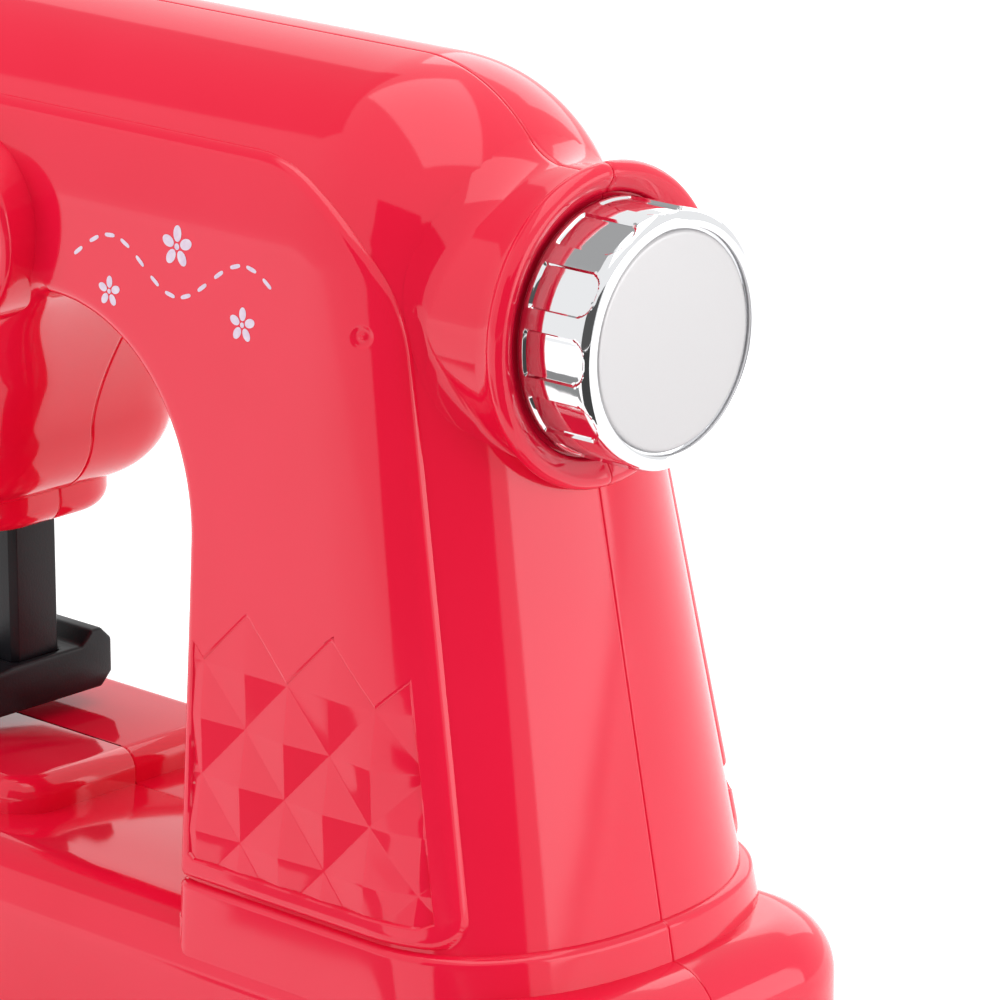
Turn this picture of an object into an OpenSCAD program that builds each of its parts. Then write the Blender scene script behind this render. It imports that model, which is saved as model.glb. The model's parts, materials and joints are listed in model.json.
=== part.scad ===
// Toy sewing machine: a two-half moulded body on a two-half base. A handwheel and a small motor turn one
// shaft, whose crank lifts the needle bar, and a click dial sits on the front of the head.
// Millimetres, +Z up, +X towards the handwheel, front towards -Y. The origin is on the table under the
// middle of the base, and the mouldings part along the plane Y = 0.

/* [Base] */
// Length of the base
base_l = 217; // [210:1:230]
// Depth of the base, front to rear
base_w = 90; // [88:1:98]
// Height of the deck above the table
deck_z = 34; // [33:1:38]
// Corner radius of the base in plan
base_corner_r = 22; // [20:1:26]
// Radius of the round-over at the edge of the deck
base_edge_r = 11; // [9:0.5:12]
// Wall of the base mouldings
base_wall = 2.4; // [2:0.1:2.8]
// Height of the raised bed above the deck
bed_h = 6.5; // [5:0.5:8]
// Depth of the raised bed, front to rear
bed_w = 58; // [52:1:62]
// Radius of the bed's upper edge
bed_edge_r = 4; // [3:0.5:5]
// Height of the rubber feet below the base
feet_h = 2; // [1.5:0.5:3]
// Diameter of the rubber feet
feet_d = 12; // [10:1:14]
// Thickness of the cover under the base
cover_t = 2.4; // [2:0.1:2.8]

/* [Body] */
// Height of the arm's top above the handwheel's axis
arm_rise = 41; // [40:1:44]
// Distance from the base's right end to the foot of the column
column_margin = 12; // [10:1:15]
// Width of the column at the spring of the arch
column_w = 78.5; // [76:0.5:82]
// Distance from the base's front edge to the foot of the column
foot_margin = 3; // [2:0.5:4]
// Half depth of the arm at the handwheel's axis
arm_half_d = 33; // [32:0.5:34.5]
// Height of the arm from its underside to its top
arm_h = 47; // [46:0.5:49]
// Radius of the arch between column and arm
arch_r = 38; // [35:1:40]
// Radius of the shoulder between column and arm
corner_r = 33; // [32:1:36]
// Distance over which the outer edges round into the front
round_d = 30; // [27:1:31]
// Radius at the edge of the arch
arch_edge_r = 3; // [2.5:0.5:5]
// Wall of the body mouldings
body_wall = 2.2; // [1.8:0.1:2.6]
// Height of the raised panel above the surface round it
panel_raise = 1.4; // [1:0.1:1.8]
// Height of the band round the foot of the column
foot_band_h = 5.5; // [4:0.5:6]
// Height of the quilted pyramids
quilt_h = 1; // [0.8:0.1:1.2]
// Width of one quilted diamond
quilt_w = 20.4; // [18:0.2:22]

/* [Head] */
// Distance from the arch to the needle bar
throat = 87; // [84:1:90]
// Width of the head
head_w = 45; // [43:1:48]
// Half depth of the head
head_half_d = 29; // [27.5:0.5:30]
// Height of the handwheel's axis above the head's underside
head_drop = 57; // [55:1:59]
// Radius round the head's underside
head_bottom_r = 14; // [12:1:15]
// Radius of the head's upper left corner
head_corner_r = 30; // [27:1:32]

/* [Handwheel] */
// Height of the handwheel's axis above the deck
wheel_h = 110; // [108:1:112]
// Diameter of the chrome knob
wheel_d = 46; // [44:1:48]
// Length of the chrome knob
wheel_l = 15.6; // [14:0.2:17]
// Diameter of the collar round the knob
collar_d = 56.5; // [55:0.5:58]
// How far the collar stands out from the column
collar_l = 8.7; // [8:0.1:10]
// Diameter of the disc in the knob's face
cap_d = 38.5; // [36:0.5:40]
// Number of recesses round the knob
flute_count = 12; // [10:1:14]

/* [Front dial] */
// Distance of the dial's axis from the needle bar
dial_offset = 28.5; // [27:0.5:30]
// Height of the dial's axis above the handwheel's axis
dial_rise = 3; // [1:0.5:5]
// Diameter of the dial
dial_d = 27.5; // [26:0.5:28.5]
// Length of the dial
dial_l = 5.5; // [5:0.5:7]
// Wall of the collar round the dial
dial_collar_wall = 3; // [2.5:0.5:4]

/* [Drive] */
// Diameter of the main shaft
shaft_d = 6; // [5:0.5:6.5]
// Throw of the crank
crank_throw = 6; // [5:0.5:6.5]
// Gear module
gear_module = 1.25; // [1.15:0.05:1.3]
// Teeth of the gear on the shaft
gear_teeth = 30; // [28:1:32]
// Teeth of the motor's pinion
pinion_teeth = 12; // [11:1:13]
// Width of the gear
gear_w = 5; // [4:0.5:6]
// Diameter of the motor
motor_d = 20; // [18:0.5:21]
// Length of the motor
motor_l = 25; // [23:1:27]

/* [Needle] */
// Width of the needle bar
bar_w = 12; // [10:0.5:13]
// Width of the foot across the machine
shoe_w = 16; // [14:0.5:18]
// Length of the foot, front to rear
shoe_l = 36; // [32:1:40]
// Height of the foot
shoe_h = 12; // [10:0.5:13]
// Gap under the foot at rest
shoe_gap = 3.5; // [3.3:0.1:5]

/* [Power] */
// Diameter of one cell
cell_d = 14.5; // [14:0.1:14.5]
// Length of one cell
cell_l = 50.5; // [49:0.5:51]
// Number of cells
cell_count = 3; // [2:1:3]
// Travel of the power switch
switch_travel = 4; // [3:0.5:5]

/* [Hidden] */
$fn = 48;
// Overrun of every cut past the face that it opens
over = 1;
// Gap between faces that slide past each other
slide_gap = 0.3;
// Gap between faces that fit without moving
fit_gap = 0.05;
// Smallest radius left on an inner skin
least_r = 1.2;

// Main places of the body
column_right = base_l / 2 - column_margin;
column_left = column_right - column_w;
foot_half_d = base_w / 2 - foot_margin;
axis_z = deck_z + wheel_h;
top_z = axis_z + arm_rise;
column_lean_share = 0.2;
column_flare = 2;
lean = atan(column_lean_share);
corner_z = top_z - corner_r;
corner_x = column_right - column_lean_share * (corner_z - deck_z) - corner_r / cos(lean);
shoulder_z = corner_z + corner_r * sin(lean);
arch_z = top_z - arm_h - arch_r;
arch_x = column_left - arch_r;
needle_x = column_left - throat;
head_left = needle_x - head_w / 2;
head_right = needle_x + head_w / 2;
head_z = axis_z - head_drop;
tub_z = head_z + head_bottom_r;
head_round_share = 0.49;
head_edge_share = 0.33;
head_round_d = head_w * head_round_share;
head_edge_r = head_w * head_edge_share;
front_lean_share = (foot_half_d - arm_half_d) / wheel_h;
round_power = 2.2;

// Curve from the crown of the arch down to the head
arch_crown = [arch_x, arch_z + arch_r];
head_foot = [head_right, tub_z];
arch_pull_shares = [0.3, 0.25];
arm_part_share = 0.3;
corner_part_share = 0.7;
slope_step = 0.01;

// Steps of the lofted skin
column_steps = 6;
shoulder_steps = 10;
arm_steps = 4;
head_corner_steps = 7;
head_side_steps = 3;
tub_steps = 5;
edge_steps = 3;
base_corner_steps = 8;
base_edge_steps = 5;
panel_column_share = 0.395;
panel_corner_share = 0.55;
panel_arm_share = 0.483;
panel_step_share = 0.05;
foot_rise_shares = [0, 0.7, 0.95, 1.35];
foot_flare_shares = [1, 1, 0, 0];
foot_panel_shares = [0, 0, 0, 1];
foot_flare = panel_raise;

// Quilted field of the front panel
quilt_inset = 5.4;
quilt_lift = 6.2;
quilt_x = column_left + quilt_inset - quilt_w / 2;
quilt_z = deck_z + quilt_lift;
quilt_columns = 7;
quilt_rows = 6;
quilt_crest = 0.2;
quilt_trim = 0.35;
quilt_rim = 3.6;
quilt_right_margin = 16.5;

// Screws and their bosses
screw_d = 3;
screw_head_d = 5.6;
screw_head_h = 1.6;
boss_d = 7.5;
body_screw_l = 18;
body_screw_seat = 8;
screw_edge = 14;
foot_screw_h = 20;
column_screw_h = 12;
column_screw_l_share = 0.75;
column_seat_h = 3;
base_screw_l = 14;
boss_sink = 0.8;
column_screw_y = foot_half_d - body_wall - boss_d / 2 + boss_sink;
column_screw_shares = [0.25, 0.6];
column_screws_at = [for (share = column_screw_shares) [column_left + column_w * share, column_screw_y]];

// Handwheel collar, knob and shaft
collar_x = column_right - column_lean_share * wheel_h;
collar_face_x = collar_x + collar_l;
collar_lip = 2.2;
collar_neck_r = collar_d / 2 - collar_lip;
collar_bead = 4;
collar_tube = 4;
collar_root = 12;
collar_web = 8;
dish_depth = 2.6;
dish_wall = 3.2;
bush_d = 12;
wheel_gap = 0.5;
wheel_back_x = collar_face_x - dish_depth + wheel_gap;
wheel_face_x = wheel_back_x + wheel_l;
wheel_wall = 2;
wheel_rim_r = 2.2;
wheel_hub_d = 14;
cap_t = 1.6;
cap_crown = 0.7;
cap_gap = 0.35;
cap_depth = 1.2;
crown_steps = 6;
flute_depth = 0.6;
flute_w_share = 0.66;
flute_l_share = 0.7;
flute_w = PI * wheel_d / flute_count * flute_w_share;
flute_l = wheel_l * flute_l_share;
shaft_run = 0.05;

// Gear pair and motor
gear_clear = 0.15;
gear_distance = gear_module * (gear_teeth + pinion_teeth) / 2 + gear_clear;
gear_inset = 34.5;
gear_x = column_left + gear_inset;
motor_z = axis_z - gear_distance;
motor_inset = 4;
motor_x = column_left + motor_inset;
motor_shaft_d = 2;
motor_boss_d = 6;
motor_boss_l = 1.5;
saddle_t = 3;
saddle_h = 26;
saddle_inset = 4;
tooth_add_share = 0.75;
tooth_root_share = 1.05;
tooth_gap = 0.12;
web_share = 0.72;
hole_share = 0.24;
web_hole_share = 0.64;
web_holes = 6;
pinion_over = 1;
pressure = 20;
flank_steps = 4;

// Crank, yoke and left bush
crank_t = 4;
crank_rim = 4;
crank_r = crank_throw + crank_rim;
crank_pin_d = 4;
crank_gap = 1;
yoke_share = 0.7;
yoke_t = bar_w * yoke_share;
yoke_w = 2 * (crank_throw + crank_pin_d);
yoke_x = needle_x - bar_w / 2 + yoke_t;
yoke_h = 34;
crank_x = needle_x + bar_w / 2 + crank_gap;
crank_hub_l = 2;
left_bush_x = crank_x + crank_t + crank_hub_l + crank_gap;
left_bush_l = 8;
left_bush_d = 10;
left_rib_t = 4;
left_rib_h = 20;
rest_rise = crank_throw / 2;
slot_z = axis_z - crank_throw + rest_rise;
slot_h = crank_pin_d + 2 * slide_gap;

// Needle bar, its guide and foot
bed_z = deck_z + bed_h;
shoe_z = bed_z + shoe_gap;
shoe_socket = 5;
shoe_rear_share = 0.48;
shoe_toe_share = 0.45;
shoe_cut_share = 0.22;
shoe_slot_share = 0.3;
bar_chamfer = 1.2;
needle_boss_l = 26;
needle_boss_w = 38;
needle_boss_r = 12;
needle_boss_h = 6;
needle_boss_edge = 4;
needle_boss_z = head_z - needle_boss_h;
guide_d = 20;
guide_flange_d = 23.5;
guide_flange_t = 1.6;
guide_inset = 0.6;
guide_seat = 0.4;
guide_seat_z = head_z + body_wall - guide_seat;
lug_drop = 32;
lug_z = axis_z - lug_drop;
lug_t = 3;

// Front dial
dial_x = needle_x + dial_offset;
dial_z = axis_z + dial_rise;
dial_gap = 0.75;
dial_recess_r = dial_d / 2 + dial_gap;
dial_collar_r = dial_recess_r + dial_collar_wall;
dial_seat = 0.2;
dial_floor = depth_at(dial_z - dial_recess_r, 0) + panel_raise + dial_seat;
dial_back = dial_floor + wheel_gap;
dial_face = dial_back + dial_l;
dial_collar_rise = dial_l;
dial_collar_root = 8;
dial_floor_t = 2.5;
dial_cap_share = 0.78;
dial_cap_d = dial_d * dial_cap_share;
dial_axle_d = 5;
dial_clip_d = 9;
dial_clip_t = 1.2;
dial_groove = 0.3;
dial_tail = 3;
dial_axle_end = depth_at(dial_z + dial_clip_d / 2, 0) - body_wall - dial_tail;
dial_flutes = 10;
dial_flute_w_share = 0.6;
dial_flute_l_share = 0.72;
dial_rim_r = 1.2;
dial_flute_w = PI * dial_d / dial_flutes * dial_flute_w_share;
dial_flute_l = dial_l * dial_flute_l_share;

// Base inside: cover, battery bay, switch
base_z = feet_h;
cover_z = base_z + cover_t;
cover_gap = 0.3;
cell_gap = 0.7;
cell_pitch = cell_d + cell_gap;
spring_l = 6;
plate_t = 0.5;
bay_wall = 1.6;
bay_l = cell_l + spring_l + 2 * plate_t;
bay_w = cell_pitch * cell_count;
bay_play = 1;
bay_h = cell_d + bay_play;
cell_z = cover_z + cell_d / 2;
cell_x = -bay_l / 2 + plate_t + spring_l;
cell_nub_l = 1.2;
cell_nub_d = 5;
spring_low_share = 0.7;
spring_high_share = 0.45;
spring_bore_share = 0.3;
plate_share = 0.8;
door_ledge = 2;
door_seat_t = 0.8;
door_t = cover_t - door_seat_t;
door_tab_l = 10;
door_tab_w = 14;
door_boss_h = 8;
feet_edge_x = 38;
feet_edge_y = 14;
feet_x = base_l / 2 - feet_edge_x;
feet_y = base_w / 2 - feet_edge_y;
feet_spigot_d = 5;
base_screw_edge = 16;
base_screw_x = base_l / 2 - base_screw_edge - base_wall;
base_screw_y = base_w / 2 - base_screw_edge;
base_screw_recess = 1.4;
base_screw_mid = bay_l / 2 + bay_wall + boss_d;
base_screws_at = [for (x = [-base_screw_x, -base_screw_mid, base_screw_x]) [x, base_screw_y]];
switch_x = -base_l / 4;
switch_rise = 11;
switch_z = base_z + switch_rise;
switch_w = 6;
switch_h = 4;
switch_play = 0.4;
switch_body_l = 18;
switch_body_h = 9;
switch_body_d = 9;
switch_slot_d = 4;
switch_inset = 0.5;
bed_reach = 32.5;
bed_margin = 3;
bed_right = needle_x + bed_reach;
bed_left = -base_l / 2 + base_edge_r + bed_margin;
bed_corner_r = 9;
bed_sink = base_wall / 2;
cable_d = 9;

red = "#EB324B";
black = "#232128";
chrome = "#D9DBDD";
satin = "#E4E2E3";
steel = "#B8BCC0";
brass = "#C8A25A";
white = "#EDEDE8";
rubber = "#3A3A3C";
blue = "#2F6FB0";

// Mixing and outline helpers
function lerp(a, b, t) = a + (b - a) * t;
function ease(t) = t * t * (3 - 2 * t);
function depth_at(z, headness) =
    lerp(foot_half_d - front_lean_share * (z - deck_z), head_half_d, headness);
function right_x(z) = column_right - column_lean_share * (z - deck_z);
function left_x(z) = column_left + column_flare * (1 - (z - deck_z) / (arch_z - deck_z));
function round_share(share) = pow(1 - pow(1 - min(max(share, 0), 1), round_power), 1 / round_power);
function round_angle(share) = acos(pow(1 - share, round_power / 2));

// Curve from the crown of the arch to the head: point and normal into the material
function arch_curve(t) =
    let (a = arch_crown, d = head_foot,
        b = [lerp(a[0], d[0], arch_pull_shares[0]), a[1]],
        c = [d[0], lerp(d[1], a[1], arch_pull_shares[1])])
    pow(1 - t, 3) * a + 3 * t * pow(1 - t, 2) * b + 3 * t * t * (1 - t) * c + pow(t, 3) * d;
function arch_normal(t) =
    let (v = arch_curve(min(t + slope_step, 1)) - arch_curve(max(t - slope_step, 0)))
    [v[1], -v[0]] / norm(v);

// A station of the loft: outer point and inward direction, inner point and its direction, how far it is
// the head's, inset of the depth, rounding at both edges, how far the panel stands up and where it starts
function column_station(z, inner_z, t, skin, flare, raise) =
    let (n = [-lerp(1, cos(lean), t), -sin(lean) * t], m = [1, 0], inset = skin - flare)
    [[right_x(z), z] + n * inset, n, [left_x(inner_z), inner_z] + m * inset, m, 0, inset,
        round_d - skin, max(arch_edge_r - skin, least_r), raise, panel_column_share];
function foot_stations(skin) =
    [for (k = [0 : len(foot_rise_shares) - 1])
        let (z = deck_z + foot_band_h * foot_rise_shares[k])
        column_station(z, z, 0, skin, skin > 0 ? 0 : foot_flare * foot_flare_shares[k],
            skin > 0 ? 0 : panel_raise * foot_panel_shares[k])];
function column_stations(skin) =
    let (low = deck_z + foot_band_h * foot_rise_shares[len(foot_rise_shares) - 1])
    [for (k = [1 : column_steps - 1])
        let (t = k / column_steps)
        column_station(lerp(low, shoulder_z, t), lerp(low, arch_z, t), t, skin, 0, skin > 0 ? 0 : panel_raise)];
function shoulder_stations(skin) =
    [for (k = [0 : shoulder_steps - 1])
        let (t = k / shoulder_steps, q = lerp(lean, 90, t), n = [-cos(q), -sin(q)],
            m = [cos(90 * t), sin(90 * t)], share = t < 1 / 2 ? panel_column_share : panel_arm_share)
        [[corner_x, corner_z] - n * (corner_r - skin), n, [arch_x, arch_z] + m * (arch_r + skin), m, 0, skin,
            round_d - skin, max(arch_edge_r - skin, least_r), skin > 0 ? 0 : panel_raise,
            lerp(share, panel_corner_share, sin(180 * t))]];
function arm_stations(skin) =
    [for (k = [0 : arm_steps - 1])
        let (t = k / arm_steps, s = t * arm_part_share, m = arch_normal(s))
        [[lerp(corner_x, head_left + head_corner_r, t), top_z - skin], [0, -1], arch_curve(s) + m * skin, m,
            0, skin, round_d - skin, max(lerp(arch_edge_r, head_edge_r, t / 2) - skin, least_r),
            skin > 0 ? 0 : panel_raise, panel_arm_share]];
function head_corner_stations(skin) =
    [for (k = [0 : head_corner_steps - 1])
        let (t = k / head_corner_steps, q = lerp(90, 180, t), n = [-cos(q), -sin(q)],
            s = lerp(arm_part_share, corner_part_share, t), m = arch_normal(s))
        [[head_left + head_corner_r, top_z - head_corner_r] - n * (head_corner_r - skin), n,
            arch_curve(s) + m * skin, m, ease(t), skin, lerp(round_d, head_round_d, t) - skin,
            lerp(arch_edge_r, head_edge_r, (1 + t) / 2) - skin, skin > 0 ? 0 : panel_raise * (1 - ease(t)),
            panel_arm_share]];
function head_side_stations(skin) =
    [for (k = [0 : head_side_steps - 1])
        let (t = k / head_side_steps, s = lerp(corner_part_share, 1, t), m = arch_normal(s))
        [[head_left + skin, lerp(top_z - head_corner_r, tub_z, t)], [1, 0], arch_curve(s) + m * skin, m,
            1, skin, head_round_d - skin, head_edge_r - skin, 0, panel_arm_share]];
function tub_stations(skin) =
    [for (k = [0 : tub_steps])
        let (q = 90 * k / tub_steps, inset = head_bottom_r - (head_bottom_r - skin) * cos(q),
            z = tub_z - (head_bottom_r - skin) * sin(q), f = (head_w - 2 * inset) / head_w)
        [[head_left + inset, z], [1, 0], [head_right - inset, z], [-1, 0], 1, inset, head_round_d * f,
            head_edge_r * f, 0, panel_arm_share]];
function stations(skin) =
    concat(foot_stations(skin), column_stations(skin), shoulder_stations(skin), arm_stations(skin),
        head_corner_stations(skin), head_side_stations(skin), tub_stations(skin));

// Angles along the rounding, with a step where the panel rises
panel_first = 6;
panel_last = 5;
function round_angles(share) =
    let (low = round_angle(share), high = round_angle(share + panel_step_share))
    concat([for (k = [0 : panel_first - 1]) low * k / (panel_first - 1)],
        [for (k = [0 : panel_last]) lerp(high, 90, k / panel_last)]);

// One section of the skin, from the outer edge over the front to the inner edge
function section(s) =
    let (o = s[0], n = s[1], i = s[2], m = s[3], a = s[6], r = s[7], angles = round_angles(s[9]))
    concat(
        [for (k = [0 : len(angles) - 1])
            let (q = angles[k], p = o + n * a * (1 - pow(cos(q), 2 / round_power)),
                d = depth_at(p[1], s[4]) - s[5])
            [p[0], -d * pow(sin(q), 2 / round_power) - (k >= panel_first ? s[8] : 0), p[1]]],
        [for (k = [0 : edge_steps])
            let (q = 90 * k / edge_steps, p = i + m * r * (1 - sin(q)), d = depth_at(p[1], s[4]) - s[5])
            [p[0], -(d - r * (1 - cos(q))) - s[8], p[1]]],
        [[i[0], 0, i[1]]]);

// Two triangles of a grid cell, on the outer or the inner side
function cell(a, b, c, d, flip) = flip ? [[a, c, b], [a, d, c]] : [[a, b, c], [a, c, d]];

// Front half of the body as one closed skin: outer and inner surface, parting faces and end caps
module half_skin() {
    outer = [for (s = stations(0)) section(s)];
    inner = [for (s = stations(body_wall)) section(s)];
    rows = len(outer);
    cols = len(outer[0]);
    shift = rows * cols;
    last = (rows - 1) * cols;
    points = concat([for (row = outer) each row], [for (row = inner) each row]);
    skin_faces = [for (i = [0 : rows - 2]) for (j = [0 : cols - 2])
        let (a = i * cols + j) each concat(
            cell(a, a + 1, a + cols + 1, a + cols, false),
            cell(shift + a, shift + a + 1, shift + a + cols + 1, shift + a + cols, true))];
    parting_faces = [for (i = [0 : rows - 2])
        let (a = i * cols, b = a + cols - 1) each concat(
            cell(a, a + cols, shift + a + cols, shift + a, false),
            cell(b, b + cols, shift + b + cols, shift + b, true))];
    foot_faces = [for (j = [0 : cols - 2]) each cell(j, shift + j, shift + j + 1, j + 1, false)];
    tub_faces = [for (j = [1 : cols - 2]) each [
        [last, last + j, last + j + 1],
        [shift + last, shift + last + j + 1, shift + last + j]]];
    tub_parting = cell(last, last + cols - 1, shift + last + cols - 1, shift + last, false);
    polyhedron(points, concat(skin_faces, parting_faces, foot_faces, tub_faces, tub_parting));
}

// Depth of the front surface of the column, panel included
function column_surface(x, z) =
    depth_at(z, 0) * round_share((right_x(z) - x) * cos(lean) / round_d) + panel_raise;

// Quilted field: the space over a sheet of four-sided pyramids that follows the panel just below its surface
function quilt_point(i, j, deep) =
    let (x = quilt_x + i * quilt_w / 2, z = quilt_z + j * quilt_w / 2, sink = (i + j) % 2 == 0 ? 0 : quilt_h)
    [x, -column_surface(x, z) + (deep > 0 ? quilt_crest + sink : -2 * quilt_h), z];
module quilt_sheet() {
    wide = quilt_columns + 1;
    tall = quilt_rows + 1;
    shift = wide * tall;
    points = concat([for (j = [0 : tall - 1]) for (i = [0 : wide - 1]) quilt_point(i, j, 1)],
        [for (j = [0 : tall - 1]) for (i = [0 : wide - 1]) quilt_point(i, j, 0)]);
    low_faces = [for (j = [0 : tall - 2]) for (i = [0 : wide - 2])
        let (a = j * wide + i, b = a + 1, c = b + wide, d = a + wide)
        each ((i + j) % 2 == 0 ? [[a, b, d], [b, c, d]] : [[a, c, d], [a, b, c]])];
    top_faces = [for (j = [0 : tall - 2]) for (i = [0 : wide - 2])
        let (a = shift + j * wide + i, b = a + 1, c = b + wide, d = a + wide)
        each [[a, c, b], [a, d, c]]];
    end_faces = [for (i = [0 : wide - 2])
        let (t = (tall - 1) * wide + i)
        each concat(cell(i, i + 1, shift + i + 1, shift + i, true),
            cell(t, t + 1, shift + t + 1, shift + t, false))];
    side_faces = [for (j = [0 : tall - 2])
        let (l = j * wide, r = l + wide - 1)
        each concat(cell(l, l + wide, shift + l + wide, shift + l, false),
            cell(r, r + wide, shift + r + wide, shift + r, true))];
    polyhedron(points, concat(top_faces, low_faces, end_faces, side_faces));
}
// Outline of the quilted field: straight rim below and at the sides, tips of diamonds above
module quilt_outline() {
    half = quilt_w / 2;
    low = quilt_z + half / 2;
    mid = quilt_z + 4 * half - quilt_trim;
    first = quilt_x + half + quilt_trim / 2;
    left = column_left + quilt_rim;
    right = first + 4 * half;
    rise = (right_x(mid) - quilt_right_margin - right) / (1 + column_lean_share);
    polygon([[left, low], [right_x(low) - quilt_right_margin, low], [right + rise, mid + rise], [right, mid],
        [right - half, mid + half], [right - 2 * half, mid], [first + half, mid + half], [first, mid],
        [left, mid - first + left]]);
}
module quilt() {
    intersection() {
        quilt_sheet();
        rotate([90, 0, 0]) linear_extrude(foot_half_d + panel_raise + 3 * quilt_h) quilt_outline();
    }
}

// Round stock along X, Y or Z
module rod_x(x, y, z, d, l) {
    translate([x, y, z]) rotate([0, 90, 0]) cylinder(d = d, h = l);
}
module rod_y(x, y, z, d, l) {
    translate([x, y, z]) rotate([-90, 0, 0]) cylinder(d = d, h = l);
}
module rod_z(x, y, z, d, l) {
    translate([x, y, z]) cylinder(d = d, h = l);
}
module round_plate(l, w, r) {
    square([l - 2 * r, w], center = true);
    square([l, w - 2 * r], center = true);
    for (x = [-1, 1]) for (y = [-1, 1]) translate([x * (l / 2 - r), y * (w / 2 - r)]) circle(r);
}

// Screws that hold the body halves: place, distance from the outer edge, rounding there, head or not
body_screws_at = [
    [right_x(deck_z + foot_screw_h) - screw_edge, deck_z + foot_screw_h, screw_edge, round_d, 0],
    [column_left + screw_edge, deck_z + foot_screw_h, round_d + boss_d, round_d, 0],
    [column_left + screw_edge / 2, arch_z, round_d + boss_d, round_d, 0],
    [corner_x, top_z - screw_edge, screw_edge, round_d, 0],
    [head_left + head_round_d / 2, axis_z + boss_d, head_round_d / 2, head_round_d, 1],
    [head_left + head_round_d / 2, tub_z + boss_d, head_round_d / 2, head_round_d, 1]];
function boss_reach(s) = depth_at(s[1], s[4]) * round_share((s[2] - boss_d / 2) / s[3]) - body_wall / 2;

// Half of the collar round the handwheel, on the front side
module half_collar() {
    r = collar_d / 2;
    b = collar_bead / 2;
    w = collar_face_x - dish_depth;
    bead = [for (q = [-60 : 20 : 90]) [r - b + b * cos(q), collar_face_x - b + b * sin(q)]];
    profile = concat(
        [[collar_neck_r - collar_tube, collar_x - collar_root], [collar_neck_r, collar_x - collar_root],
            [collar_neck_r, collar_face_x - collar_bead]],
        bead,
        [[r - dish_wall, collar_face_x], [r - dish_wall - b, w], [bush_d / 2, w],
            [bush_d / 2, w - collar_web], [collar_neck_r - collar_tube, w - collar_web]]);
    mirror([0, 1, 0]) translate([0, 0, axis_z]) rotate([0, 90, 0])
        rotate_extrude(angle = 180) polygon(profile);
}

// Ribs and bosses inside one body half, on the front side
module half_ribs() {
    saddle_reach = depth_at(motor_z, 0) - fit_gap;
    for (x = [motor_x + saddle_inset, motor_x + motor_l - saddle_inset - saddle_t])
        translate([x, -saddle_reach, motor_z - saddle_h / 2]) cube([saddle_t, saddle_reach, saddle_h]);
    rib_reach = arm_half_d - body_wall / 2;
    translate([left_bush_x + (left_bush_l - left_rib_t) / 2, -rib_reach, axis_z - left_rib_h / 2])
        cube([left_rib_t, rib_reach, left_rib_h]);
    lug_reach = head_half_d - body_wall / 2;
    translate([needle_x - bar_w / 2, -lug_reach, lug_z])
        cube([bar_w, lug_reach - bar_w / 2 - slide_gap, lug_t]);
    for (s = body_screws_at) mirror([0, 1, 0]) rod_y(s[0], 0, s[1], boss_d, boss_reach(s));
    for (p = column_screws_at) rod_z(p[0], -p[1], deck_z, boss_d, column_screw_h);
}

// Bores of one body half, on the front side
module half_bores() {
    rod_x(collar_x - collar_root - over, 0, axis_z, bush_d, collar_root + collar_l + over);
    rod_x(left_bush_x - over, 0, axis_z, left_bush_d, left_bush_l + 2 * over);
    rod_x(motor_x - over, 0, motor_z, motor_d + 2 * fit_gap, motor_l + 2 * over);
    rod_z(needle_x, 0, needle_boss_z - over, guide_d + 2 * fit_gap, guide_seat_z - needle_boss_z + 2 * over);
    rod_z(needle_x, 0, guide_seat_z, guide_flange_d + 2 * fit_gap, guide_flange_t + 2 * over);
    for (p = column_screws_at)
        rod_z(p[0], -p[1], deck_z - over, screw_d + 2 * fit_gap, column_screw_h + over - body_wall / 2);
}

// Half of the boss under the head round the needle bar, on the front side
module needle_boss() {
    top = head_z + body_wall / 2;
    translate([needle_x, 0, top]) mirror([0, 0, 1])
        half_pad(needle_boss_l, needle_boss_w, needle_boss_r, 0, top - needle_boss_z, needle_boss_edge);
}

module front_body_shell() {
    color(red) difference() {
        union() {
            half_skin();
            half_collar();
            half_ribs();
            needle_boss();
            translate([dial_x, 0, dial_z]) rotate([90, 0, 0]) dial_collar();
        }
        half_bores();
        quilt();
        for (s = body_screws_at)
            mirror([0, 1, 0])
                rod_y(s[0], -over, s[1], screw_d + 2 * fit_gap, body_screw_l - body_screw_seat + 2 * over);
        mirror([0, 1, 0]) rod_y(dial_x, 0, dial_z, dial_axle_d + 2 * shaft_run, dial_floor + over);
    }
}
// Beaded collar round the front dial, along +Z from the wall outwards
module dial_collar() {
    b = dial_collar_wall / 2;
    high = dial_floor + dial_collar_rise - b;
    low = dial_floor - dial_collar_root;
    mid = dial_floor - dial_floor_t;
    bead = [for (q = [0 : 22.5 : 180]) [dial_recess_r + b + b * cos(q), high + b * sin(q)]];
    rotate_extrude() polygon(concat(
        [[0, mid], [dial_recess_r, mid], [dial_recess_r, low], [dial_collar_r, low]], bead,
        [[dial_recess_r, dial_floor], [0, dial_floor]]));
}

module rear_body_shell() {
    color(red) difference() {
        mirror([0, 1, 0]) union() {
            half_skin();
            half_collar();
            half_ribs();
            needle_boss();
        }
        mirror([0, 1, 0]) {
            half_bores();
            quilt();
        }
        for (s = body_screws_at) {
            rod_y(s[0], -over, s[1], screw_d + 2 * fit_gap, body_screw_seat + 2 * over);
            rod_y(s[0], body_screw_seat, s[1], screw_head_d + 2 * fit_gap, foot_half_d);
        }
    }
}

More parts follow.
